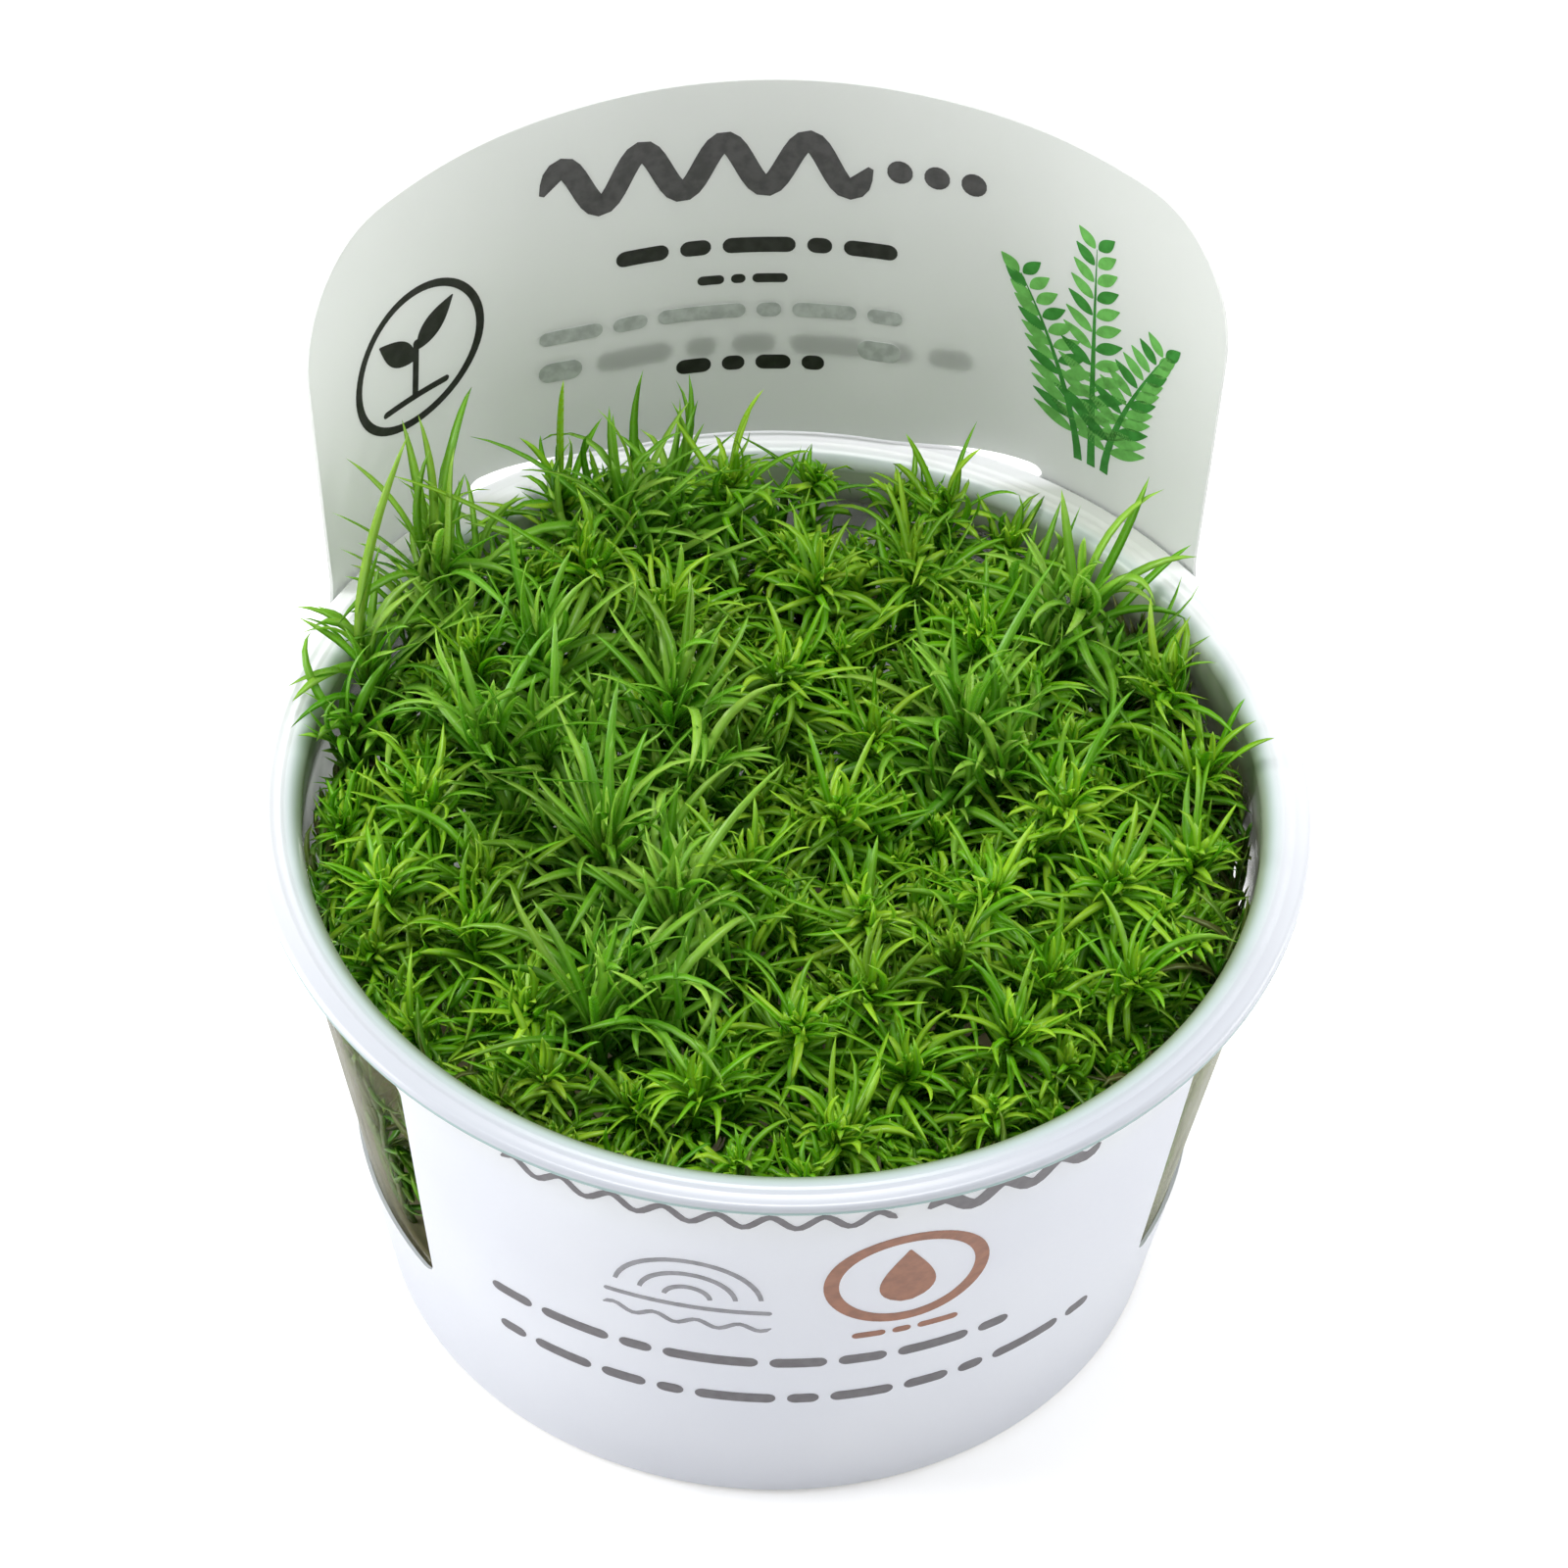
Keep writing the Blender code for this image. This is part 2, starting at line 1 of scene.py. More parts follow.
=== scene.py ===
"""The looks of the tissue-culture water plants in their cup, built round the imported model.

The cup stands on z = 0. Its front is towards -Y and the sleeve's tall tab towards +Y. Lengths
are written in millimetres and turned into metres where the meshes are made.
"""

import json
import math
import random

import bmesh
import bpy
import numpy as np
from mathutils import Matrix, Quaternion, Vector


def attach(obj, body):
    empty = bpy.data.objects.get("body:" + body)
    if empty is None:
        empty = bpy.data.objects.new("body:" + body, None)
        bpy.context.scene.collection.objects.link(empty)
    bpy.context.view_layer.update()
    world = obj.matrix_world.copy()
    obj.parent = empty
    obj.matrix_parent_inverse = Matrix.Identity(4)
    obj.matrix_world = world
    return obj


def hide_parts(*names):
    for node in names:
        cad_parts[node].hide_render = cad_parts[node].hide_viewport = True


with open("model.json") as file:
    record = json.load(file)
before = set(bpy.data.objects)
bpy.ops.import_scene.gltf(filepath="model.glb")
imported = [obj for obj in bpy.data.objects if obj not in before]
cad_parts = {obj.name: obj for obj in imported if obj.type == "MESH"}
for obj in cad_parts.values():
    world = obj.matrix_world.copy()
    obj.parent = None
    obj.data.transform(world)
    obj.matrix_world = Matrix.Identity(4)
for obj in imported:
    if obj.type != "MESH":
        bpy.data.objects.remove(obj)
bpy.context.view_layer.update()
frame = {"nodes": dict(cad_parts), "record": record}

MM = 0.001
GAP = 0.06

# Cup
RIM_RADIUS = 50.0
RIM_HEIGHT = 57.0
CUP_BASE_RADIUS = 36.6
CUP_SLOPE = 0.197
COLLAR_START = 46.2
WALL = 0.45
LIP_DEPTH = 1.2
FOOT_FILLET = 2.0
RIM_FILLET = 1.6
RIDGE_RADII = (47.3, 48.3)
RIDGE_HEIGHT = 0.12
RIDGE_WIDTH = 0.35
CUP_STEPS = 192

# Culture gel
GEL_TOP = 14.5
MENISCUS = 0.7

# Sleeve
SHEET = 0.35
BELT_BOTTOM = 0.5
BELT_TOP = 55.4
TAB_TOP = 97.5
TAB_ARCH = 3.8
TAB_HALF_ANGLE = 55.0
TAB_NARROWING = 2.4
TAB_CORNER = 11.6
TAB_SLOPE_BY_SLOT = 0.144
FLEX_START = 42.0
SLOT_HALF_ANGLE = 33.5
SLOT_BOTTOM = 55.4
SLOT_TOP = 57.6
WINDOW_FRONT_BOTTOM_ANGLE = 56.5
WINDOW_FRONT_TOP_ANGLE = 52.0
WINDOW_BACK_ANGLE = 100.0
WINDOW_BOTTOM = 15.7
WINDOW_TOP = 51.5

# Printed marks: how far the ink stands above the sheet and reaches into it
INK_ABOVE = 0.03
INK_BELOW = 0.04
INK_STEPS = 4
# Lengths of the bars in the two rows behind the tab, which show through it
UPPER_BARS = (6.2, 3.4, 8.5, 2.4)
LOWER_BARS = (4.2, 7.4, 3.0)

# Leaves
SEED = 7
SECTION_LENGTH = 1.4
FEWEST_SECTIONS = 5
MOST_SECTIONS = 10
LEAF_THICKNESS = 0.2
HOOK = 1.5
STEM_RADIUS = 0.6
STEM_SIDES = 6
SIDE_SHOOT_SPACING = 4.3
SIDE_SHOOT_WHORLS = 7
BED_RADIUS = 42.0
WALL_SHOOTS = 72
LEAF_WIDTHS = {"fine_leaf": 0.74, "broad_leaf": 0.98}

# Whorls of a shoot from its tip down: depth under the tip, number of leaves, their length, and
# the rise of their base and of their tip above level, in degrees
WHORLS = {
    "fine_leaf": [
        (0.0, 5, 2.8, 84, 66), (0.6, 7, 4.4, 74, 34), (1.3, 7, 6.2, 64, 2),
        (2.2, 8, 7.8, 56, -26), (3.4, 8, 9.0, 48, -44), (5.0, 8, 9.8, 40, -56),
        (7.2, 7, 10.4, 32, -58), (10.0, 6, 10.6, 22, -54), (14.0, 5, 10.4, 14, -48),
        (19.0, 4, 10.0, 12, -42), (26.0, 3, 9.0, 10, -36),
    ],
    "broad_leaf": [
        (0.0, 3, 6.5, 84, 68), (1.1, 5, 10.5, 78, 50), (2.6, 5, 14.5, 72, 28),
        (4.6, 6, 17.0, 64, 6), (7.2, 5, 17.5, 54, -12), (10.5, 5, 16.0, 44, -26),
        (14.5, 4, 13.5, 30, -34), (20.0, 4, 11.5, 18, -36), (26.5, 4, 10.0, 12, -32),
        (33.0, 3, 8.0, 10, -30),
    ],
}
# Long leaves that arch over their neighbours: how many at most, and their least and most length
STRAYS = {"fine_leaf": (4, 10.0, 16.0), "broad_leaf": (4, 15.0, 23.0)}
# The share of a shoot's leaves whose tips curl inwards, and how far they turn, in degrees
CURLED_SHARE = 0.22
CURL = (30.0, 95.0)
# Hollows between the side shoots: place and radius
HOLLOWS = ((5.5, 14, 4.5), (33, 0.6, 4), (-14.5, -1.2, 4), (18.2, -25.3, 3.5),
           (-23.9, -2.8, 3.5))
# Single long leaves that lie over the bed: base, tip, and how far the middle arches up
LAID_LEAF_WIDTH = 1.05
LAID_LEAVES = (
    ((-15.5, 22.5, 51), (-12.2, 10, 52), 6),
    ((-19.5, 23, 51), (-20.2, 13.5, 52), 6),
    ((-22.5, 20.5, 51), (-22.5, 8.2, 52), 6),
    ((-12.5, 22.5, 51), (-6.1, 14.6, 53), 5.5),
    ((-2, 21, 51), (-6, 13, 53), 5.5),
    ((-17.5, 19, 51), (-13, 8.8, 52), 5),
    ((-36.6, 20.9, 55), (-45.7, 13, 59), 2),
    ((-21, 36.8, 54), (-34.8, 34, 67), -1),
    ((-19.2, -19.4, 50), (-10, -6.2, 56), 3),
    ((-18.3, -20.1, 50), (-5.4, -9.6, 56), 3),
    ((-20, -17.6, 50), (-12, -9.1, 57), 2.5),
    ((-17.4, -21.3, 50), (-1.4, -11.7, 54), 4),
    ((18.5, 20.5, 51), (15.9, 10.5, 52), 6),
    ((26, 20.5, 51), (24.2, 9.2, 50), 6.5),
    ((29.5, 25.5, 53), (37.5, 24, 56), 4),
)

# Soft lights: place in metres, size in metres and power in watts, and the even fill's strength
LIGHTS = {
    "top_light": ((0.0, 0.1, 1.1), 0.5, 8.3),
    "left_light": ((-1.0, 0.1, 0.5), 0.6, 11.0),
    "right_light": ((1.0, 0.1, 0.5), 0.6, 6.8),
}
FILL_STRENGTH = 0.38

# Camera, at the photo's viewing angle
CAMERA_AZIMUTH = 4.871
CAMERA_ELEVATION = 47.836
CAMERA_ROLL = 1.96
CAMERA_DISTANCE = 1.28898
CAMERA_AIM = (0.12, 0.0, 59.83)
LENS = 314.7


# Materials

def grey(level):
    """A grey, also for the mix of plain values."""
    return (level, level, level, 1)


class Look:
    """A material with short ways to build its nodes. Each value is a socket or a fixed value."""

    def __init__(self, name):
        self.material = bpy.data.materials.new(name)
        self.material.use_nodes = True
        self.tree = self.material.node_tree
        self.shader = self.tree.nodes["Principled BSDF"]

    def feed(self, node, values):
        """Gives some of a node's inputs their values."""
        for name, value in values.items():
            if isinstance(value, bpy.types.NodeSocket):
                self.tree.links.new(value, node.inputs[name])
            else:
                node.inputs[name].default_value = value

    def node(self, kind, values, **settings):
        """A node with some of its settings and the values of its inputs."""
        node = self.tree.nodes.new("ShaderNode" + kind)
        for name, setting in settings.items():
            setattr(node, name, setting)
        self.feed(node, values)
        return node

    def shade(self, values):
        """Gives the shader its values."""
        self.feed(self.shader, values)

    def mix(self, first, second, share):
        """The mix of two colours."""
        return self.node("Mix", {6: first, 7: second, 0: share}, data_type="RGBA").outputs[2]

    def times(self, first, second):
        """The product of two values."""
        return self.node("Math", {0: first, 1: second}, operation="MULTIPLY").outputs[0]

    def step(self, value, low, high, to_low=0.0, to_high=1.0):
        """A smooth step of a value from one range to another."""
        values = {"Value": value, "From Min": low, "From Max": high, "To Min": to_low, "To Max": to_high}
        return self.node("MapRange", values, interpolation_type="SMOOTHSTEP").outputs["Result"]

    def place(self):
        """A point's place in the object's own space."""
        return self.node("TexCoord", {}).outputs["Object"]

    def along(self, axis):
        """A point's place along one axis."""
        return self.node("SeparateXYZ", {0: self.place()}).outputs[axis]

    def reach(self):
        """How far a point is from the cup's axis."""
        flat = self.node("VectorMath", {0: self.place(), 1: (1.0, 1.0, 0.0)}, operation="MULTIPLY")
        return self.node("VectorMath", {0: flat.outputs[0]}, operation="LENGTH").outputs["Value"]

    def noise(self, scale, detail=2.0):
        """A noise pattern in the object's own space."""
        values = {"Vector": self.place(), "Scale": scale, "Detail": detail}
        return self.node("TexNoise", values).outputs["Fac"]

    def bump(self, height, strength, distance):
        """Feeds a height into the shader's normal."""
        values = {"Strength": strength, "Distance": distance, "Height": height}
        self.shade({"Normal": self.node("Bump", values).outputs["Normal"]})

    def see_through(self, colour, share):
        """Lets a share of the light through a thin surface from behind."""
        behind = self.node("BsdfTranslucent", {"Color": colour})
        mix = self.node("MixShader", {0: share, 1: self.shader.outputs[0], 2: behind.outputs[0]})
        self.feed(self.tree.nodes["Material Output"], {"Surface": mix.outputs[0]})


def leaf_material(name, deep, fresh, young):
    """Leaf tissue: colour by age and along the leaf, a pale midrib that is partly painted highlight,
    mottling and thin gloss.

    The mesh's "leaf" colours hold the share along the leaf, a chance tone, the leaf's youth
    and the distance from the midrib.
    """
    look = Look(name)
    facts = look.node("Attribute", {}, attribute_name="leaf")
    along, tone, youth = look.node("SeparateColor", {"Color": facts.outputs["Color"]}).outputs
    body = look.mix(deep, fresh, look.step(youth, 0.05, 0.7))
    lively = look.times(look.step(tone, 0.3, 1.0), look.step(youth, 0.3, 0.85))
    body = look.mix(body, young, lively)
    ends = look.times(look.step(along, 0.4, 1.0), look.step(tone, 0.0, 0.8))
    body = look.mix(body, young, look.times(ends, 0.55))
    dull = look.times(look.step(look.noise(60.0), 0.5, 0.66), 0.4)
    body = look.mix(body, (0.17, 0.24, 0.02, 1), dull)
    # The oldest leaves, those against the cup's wall, are painted dark olive-brown: partly the colour of
    # old leaves and partly painted shade of the cup's dim inside.
    body = look.mix(body, (0.12, 0.095, 0.035, 1), look.step(youth, 0.02, 0.14, 1.0, 0.0))
    # The pale midrib is partly the rib's own colour and partly a painted highlight, standing in for
    # glossy streaks along the leaves.
    rib = look.step(facts.outputs["Alpha"], 0.0, 0.4, 1.0, 0.0)
    body = look.mix(body, (0.55, 0.78, 0.25, 1), look.times(rib, 0.24))
    mottle = look.step(look.noise(1400.0, 3.0), 0.3, 0.7)
    body = look.mix(body, look.mix(body, deep, 0.5), look.times(mottle, 0.3))
    look.shade({"Base Color": body, "Specular IOR Level": 0.36,
                "Roughness": look.step(mottle, 0.0, 1.0, 0.22, 0.36)})
    look.bump(mottle, 0.25, 0.00006)
    look.see_through(look.mix(body, (0.4, 0.95, 0.03, 1), 0.5), 0.4)
    return look.material


def cup_material():
    """Clear thin plastic, faint on the wall, with light and shade painted into its colour: olive painted
    shade on the wall and collar, and a near-opaque flange painted grey and white.
    """
    look = Look("clear_plastic_look")
    away, level, reach = look.along("Y"), look.along("Z"), look.reach()
    right_side = look.step(look.along("X"), 0.028, 0.035)
    towards_tab = look.step(away, -0.045, 0.045)
    above_collar = look.step(level, 0.0550, 0.0558)
    # The flange's painted white band reaches further in towards the tab, where the flange is painted as
    # more brightly lit.
    shift = look.times(towards_tab, 0.001)
    shifted_reach = look.node("Math", {0: reach, 1: shift}, operation="ADD").outputs[0]
    # Where the flange is painted near-opaque: greenish grey at its inner edge as painted shade of the
    # plants behind the plastic, and white further out as painted light from the bright surroundings.
    painted_flange = look.times(look.step(shifted_reach, 0.0455, 0.0472), above_collar)
    white = look.times(look.step(shifted_reach, 0.0461, 0.0482), above_collar)
    # Painted shade: the lip's lower outer edge is painted as a dark greenish grey line, for the shade in
    # the gap above the sleeve.
    lip_shade = look.times(look.step(level, 0.0565, 0.0562), look.step(reach, 0.0488, 0.0494))
    body = look.mix(cup_wall_colour(look, away, level, right_side), (0.42, 0.53, 0.5, 1), painted_flange)
    body = look.mix(body, flange_colour(look, away, towards_tab), white)
    look.shade({"Base Color": look.mix(body, (0.24, 0.36, 0.35, 1), lip_shade),
                "Alpha": look.mix(cup_wall_cover(look, level, right_side), grey(0.95), painted_flange),
                "Specular IOR Level": look.step(above_collar, 0.0, 1.0, 0.02, 0.5),
                "Roughness": 0.25, "IOR": 1.49})
    return look.material


def cup_wall_colour(look, away, level, right_side):
    """Painted shade: dark olive low on the wall and paler on its right side, for the dim inside of the
    cup and the shaded sleeve seen through the clear wall; dim olive on the collar, and painted pale
    towards the tab as light.
    """
    wall = look.mix((0.1, 0.095, 0.04, 1), (0.2, 0.21, 0.12, 1), right_side)
    collar = look.mix((0.22, 0.27, 0.165, 1), (0.85, 0.88, 0.76, 1), look.step(away, 0.005, 0.03))
    return look.mix(wall, collar, look.step(level, 0.0505, 0.0535))


def flange_colour(look, away, towards_tab):
    """Painted light and shade on the flange: grey at the front as painted shade, white at the back as
    painted light, and greyish in front of the tab beside its slot as the painted shade of the tab behind
    it.
    """
    flange = look.mix((0.5, 0.525, 0.575, 1), (0.9, 0.91, 0.93, 1), towards_tab)
    beside_slot = look.times(look.step(away, 0.026, 0.032), look.step(away, 0.0415, 0.0395))
    return look.mix(flange, (0.56, 0.585, 0.54, 1), beside_slot)


def cup_wall_cover(look, level, right_side):
    """How much the wall's painted olive shade hides what is behind it: more at grazing angles, in broken
    patches lower down, almost wholly on the collar, and in mottled patches high on its right side, where
    painted shade hides the bright floor seen through the wall.
    """
    facing = look.node("LayerWeight", {}).outputs["Facing"]
    thick = look.step(facing, 0.8, 0.98, 0.0, 0.9)
    patches = look.step(look.noise(110.0, 3.0), 0.35, 0.6)
    # Broken patches of painted shade over the cup's inside, lower down on the wall.
    shade_cover = look.times(look.times(look.step(level, 0.032, 0.050), patches), 0.45)
    shade_cover = look.mix(shade_cover, grey(0.85), look.step(level, 0.0500, 0.0520))
    mottle = look.step(look.noise(260.0, 3.0), 0.35, 0.6, 0.65, 1.0)
    # Painted shade high on the right side of the wall.
    dim = look.times(look.times(look.step(level, 0.0395, 0.0450), right_side), mottle)
    return look.mix(thick, grey(0.95), look.mix(shade_cover, grey(0.9), dim))


def sheet_material():
    """White polypropylene sheet: satin, faintly pebbled, and a little light comes through; the tab and
    the back of the sleeve are painted greyer and faintly greener than the bluish belt, as painted shade
    and green bounce light from the plants.
    """
    look = Look("white_sheet_look")
    cloud = look.step(look.noise(35.0), 0.3, 0.7)
    belt = look.mix((0.79, 0.81, 0.89, 1), (0.83, 0.85, 0.92, 1), cloud)
    # Painted shade and green bounce light: towards the back and up the tab, the sheet is painted greyer
    # and greener than the belt.
    tab = look.mix((0.765, 0.775, 0.77, 1), (0.8, 0.81, 0.805, 1), cloud)
    belt = look.mix(belt, tab, look.step(look.along("Y"), -0.01, 0.02))
    white = look.mix(belt, tab, look.step(look.along("Z"), 0.045, 0.06))
    pebbles = look.noise(1800.0)
    look.shade({"Base Color": white, "Roughness": look.step(pebbles, 0.3, 0.7, 0.36, 0.5)})
    look.bump(pebbles, 0.12, 0.00005)
    look.see_through((0.88, 0.9, 0.87, 1), 0.34)
    return look.material


def gel_material():
    """Set culture medium: a cloudy, brownish jelly."""
    look = Look("gel_look")
    cloud = look.step(look.noise(120.0, 4.0), 0.35, 0.65)
    look.shade({"Base Color": look.mix((0.36, 0.32, 0.17, 1), (0.5, 0.46, 0.3, 1), cloud),
                "Roughness": 0.16, "IOR": 1.34, "Transmission Weight": 0.35})
    look.bump(cloud, 0.2, 0.0004)
    return look.material


def ink_material(name, colour):
    """Printing ink with a slightly uneven cover."""
    look = Look(name)
    cover = look.step(look.noise(900.0, 3.0), 0.3, 0.7)
    paler = tuple(min(part * 1.35 + 0.01, 1.0) for part in colour)
    look.shade({"Base Color": look.mix((*colour, 1), (*paler, 1), cover), "Roughness": 0.42})
    return look.material


def floor_material():
    """A plain pale floor."""
    look = Look("floor_look")
    look.shade({"Base Color": grey(0.93), "Roughness": 0.8, "Emission Color": grey(1),
                "Emission Strength": 0.3})
    return look.material


# Helpers for pieces

def add_object(name, data):
    """A new object in the scene."""
    made = bpy.data.objects.new(name, data)
    bpy.context.scene.collection.objects.link(made)
    return made


def add_piece(name, mesh, material, nodes=()):
    """Adds a mesh as a piece of the object that rides on its one body."""
    piece = add_object(name, mesh)
    mesh.materials.clear()
    mesh.materials.append(material)
    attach(piece, "root")
    if nodes:
        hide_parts(*nodes)


def finish_bmesh(name, bm, smooth=False):
    """Turns a bmesh into a mesh datablock."""
    if smooth:
        bmesh.ops.recalc_face_normals(bm, faces=bm.faces)
    for face in bm.faces:
        face.smooth = smooth
    mesh = bpy.data.meshes.new(name)
    bm.to_mesh(mesh)
    bm.free()
    return mesh


# Turned pieces

def arc(centre_x, centre_z, radius, start, end, steps):
    """Points of a fillet in the profile's plane, with its angles in degrees."""
    points = []
    for step in range(steps + 1):
        angle = math.radians(start + (end - start) * step / steps)
        points.append((centre_x + radius * math.cos(angle), centre_z + radius * math.sin(angle)))
    return points


def join_columns(bm, columns):
    """Quads between neighbouring columns of vertices."""
    for left, right in zip(columns, columns[1:]):
        for row in range(len(left) - 1):
            bm.faces.new((left[row], left[row + 1], right[row + 1], right[row]))


def turned(name, profile):
    """A smooth solid of revolution from a profile whose two ends are on the axis."""
    bm = bmesh.new()
    columns = []
    for step in range(CUP_STEPS):
        turn = 2.0 * math.pi * step / CUP_STEPS
        across, along = math.cos(turn) * MM, math.sin(turn) * MM
        columns.append([bm.verts.new((x * across, x * along, z * MM)) for x, z in profile[1:-1]])
    top = bm.verts.new((0.0, 0.0, profile[0][1] * MM))
    bottom = bm.verts.new((0.0, 0.0, profile[-1][1] * MM))
    join_columns(bm, columns + columns[:1])
    for left, right in zip(columns, columns[1:] + columns[:1]):
        bm.faces.new((top, left[0], right[0]))
        bm.faces.new((left[-1], bottom, right[-1]))
    return finish_bmesh(name, bm, smooth=True)


def outer_wall(z):
    """The cup's outer radius at a height: a cone, then an upright collar."""
    return CUP_BASE_RADIUS + CUP_SLOPE * min(z, COLLAR_START)


def inner_wall(z):
    """The cup's inner radius at a height."""
    return outer_wall(z) - WALL


def straight(start, end, steps):
    """Points on a line between two profile points, without its ends."""
    shares = [step / steps for step in range(1, steps)]
    return [tuple(a + (b - a) * share for a, b in zip(start, end)) for share in shares]


def ridges(z):
    """The fine raised rings on the flange's upper face, as profile points."""
    points = []
    for radius in RIDGE_RADII:
        for share, lift in ((-1.0, 0.0), (-0.4, 0.8), (0.0, 1.0), (0.4, 0.8), (1.0, 0.0)):
            points.append((radius + share * RIDGE_WIDTH, z + lift * RIDGE_HEIGHT))
    return points


def cup_profile():
    """From the middle of the cup's floor up the inside, over the rim and down the outside."""
    top = RIM_HEIGHT - RIDGE_HEIGHT / 2.0
    under = top - WALL
    lip_inner = RIM_RADIUS - 0.6
    inside_top = top - RIM_FILLET
    fillet_x = inner_wall(inside_top) + RIM_FILLET
    inner_foot = FOOT_FILLET - WALL
    low_inside = (inner_wall(FOOT_FILLET), FOOT_FILLET)
    low_outside = (outer_wall(FOOT_FILLET), FOOT_FILLET)
    collar_inside = (inner_wall(COLLAR_START), COLLAR_START)
    collar_outside = (outer_wall(COLLAR_START), COLLAR_START)
    profile = [(0.0, WALL), (18.0, WALL)]
    profile += arc(inner_wall(FOOT_FILLET) - inner_foot, FOOT_FILLET, inner_foot, -90, 0, 5)
    profile += straight(low_inside, collar_inside, 8) + [collar_inside]
    profile += arc(fillet_x, inside_top, RIM_FILLET, 180, 90, 10)
    profile += ridges(top)
    profile += arc(RIM_RADIUS - 0.6, top - 0.6, 0.6, 90, 0, 6)
    profile += arc(RIM_RADIUS - 0.3, RIM_HEIGHT - LIP_DEPTH + 0.3, 0.3, 0, -90, 3)
    profile += [(lip_inner, RIM_HEIGHT - LIP_DEPTH), (lip_inner - 0.2, under)]
    profile += arc(fillet_x, inside_top, RIM_FILLET - WALL, 90, 180, 5)
    profile += [collar_outside] + straight(collar_outside, low_outside, 8)
    profile += arc(outer_wall(FOOT_FILLET) - FOOT_FILLET, FOOT_FILLET, FOOT_FILLET, 0, -90, 6)
    profile += [(18.0, 0.0), (0.0, 0.0)]
    return profile


def make_cup():
    """The clear cup."""
    add_piece("clear_cup", turned("clear_cup", cup_profile()), cup_material(), ["cup"])


def make_gel():
    """The culture gel, with a meniscus that climbs the cup's wall a little."""
    bottom = WALL + GAP
    edge_top = GEL_TOP + MENISCUS
    shoulder = bottom + FOOT_FILLET
    edge = inner_wall(edge_top) - GAP
    profile = [(0.0, GEL_TOP), (20.0, GEL_TOP), (edge - 3.6, GEL_TOP), (edge - 1.6, GEL_TOP + 0.08),
               (edge - 0.7, GEL_TOP + 0.3), (edge, edge_top)]
    profile += [(inner_wall(shoulder) - GAP, shoulder)]
    profile += arc(inner_wall(shoulder) - GAP - 1.6, shoulder, 1.6, 0, -90, 5)
    profile += [(20.0, bottom), (0.0, bottom)]
    add_piece("culture_gel", turned("culture_gel", profile), gel_material(), ["growth_gel"])


# Sleeve

def ease(value, start, end):
    """A smooth step from 0 at start to 1 at end."""
    t = min(max((value - start) / (end - start), 0.0), 1.0)
    return t * t * (3.0 - 2.0 * t)


def sleeve_radius(angle, z):
    """The sheet's inner radius at an angle in degrees from the back."""
    cone = CUP_BASE_RADIUS + GAP + CUP_SLOPE * z
    behind_flange = RIM_RADIUS + 0.35 + TAB_SLOPE_BY_SLOT * max(z - SLOT_TOP, 0.0)
    flex = max(behind_flange - cone, 0.0) * ease(z, FLEX_START, BELT_TOP)
    side = abs(angle)
    share = ease(side, 14.0, SLOT_HALF_ANGLE - 1.5) - ease(side, TAB_HALF_ANGLE, 78.0)
    return cone + flex * share


def tab_half_angle(z):
    """How far the tab reaches round from the back at a height."""
    return TAB_HALF_ANGLE - TAB_NARROWING * (z - BELT_TOP) / (TAB_TOP - BELT_TOP)


def tab_height(share):
    """The height of the tab's upper edge, from -1 at one side of the tab to 1 at the other."""
    half = math.radians(tab_half_angle(TAB_TOP)) * sleeve_radius(0.0, TAB_TOP)
    inset = max(TAB_CORNER - half * (1.0 - abs(share)), 0.0)
    drop = TAB_CORNER - math.sqrt(TAB_CORNER ** 2 - inset ** 2)
    return TAB_TOP - TAB_ARCH * share ** 2 - drop


def on_sheet(angle, z, lift=0.0):
    """A point at a height above the sheet's inner face."""
    radius = sleeve_radius(angle, z) + lift
    turn = math.radians(angle)
    return (radius * math.sin(turn) * MM, radius * math.cos(turn) * MM, z * MM)


def sleeve_face():
    """The sleeve's inner face: a closed belt, and the tab's rows above it."""
    even = [step / 40.0 for step in range(1, 38)]
    half = even + [0.94, 0.955, 0.97, 0.98, 0.988, 0.994, 0.998, 1.0]
    tab_columns = [-share for share in reversed(half)] + [0.0] + half
    rest_steps = 110
    rest_span = 360.0 - 2.0 * TAB_HALF_ANGLE
    rest = [TAB_HALF_ANGLE + rest_span * step / rest_steps for step in range(1, rest_steps)]
    belt_rows = [BELT_BOTTOM, 14.0, 28.0, FLEX_START]
    belt_rows += [FLEX_START + (BELT_TOP - FLEX_START) * step / 8 for step in range(1, 9)]
    slot = (SLOT_TOP - BELT_TOP) / (TAB_TOP - BELT_TOP)
    tab_rows = [0.5 * slot, slot] + [step / 10 for step in range(1, 11)]

    bm = bmesh.new()
    belt = []
    tab_angles = [share * TAB_HALF_ANGLE for share in tab_columns]
    for angle in tab_angles + [angle if angle < 180.0 else angle - 360.0 for angle in rest]:
        belt.append([bm.verts.new(on_sheet(angle, z)) for z in belt_rows])
    join_columns(bm, belt + belt[:1])
    tab = []
    for column, share in zip(belt, tab_columns):
        top = tab_height(share)
        heights = [BELT_TOP + row * (top - BELT_TOP) for row in tab_rows]
        points = [on_sheet(share * tab_half_angle(z), z) for z in heights]
        tab.append([column[-1]] + [bm.verts.new(point) for point in points])
    join_columns(bm, tab)
    return finish_bmesh("sleeve_face", bm, smooth=True)


def round_long_edges(bm, radius):
    """Rounds the four edges of a box that run along its Y axis."""
    edges = [e for e in bm.edges if abs(e.verts[0].co.y - e.verts[1].co.y) > 0.5 * MM]
    bmesh.ops.bevel(bm, geom=edges, offset=radius * MM, segments=10, profile=0.5, affect="EDGES")


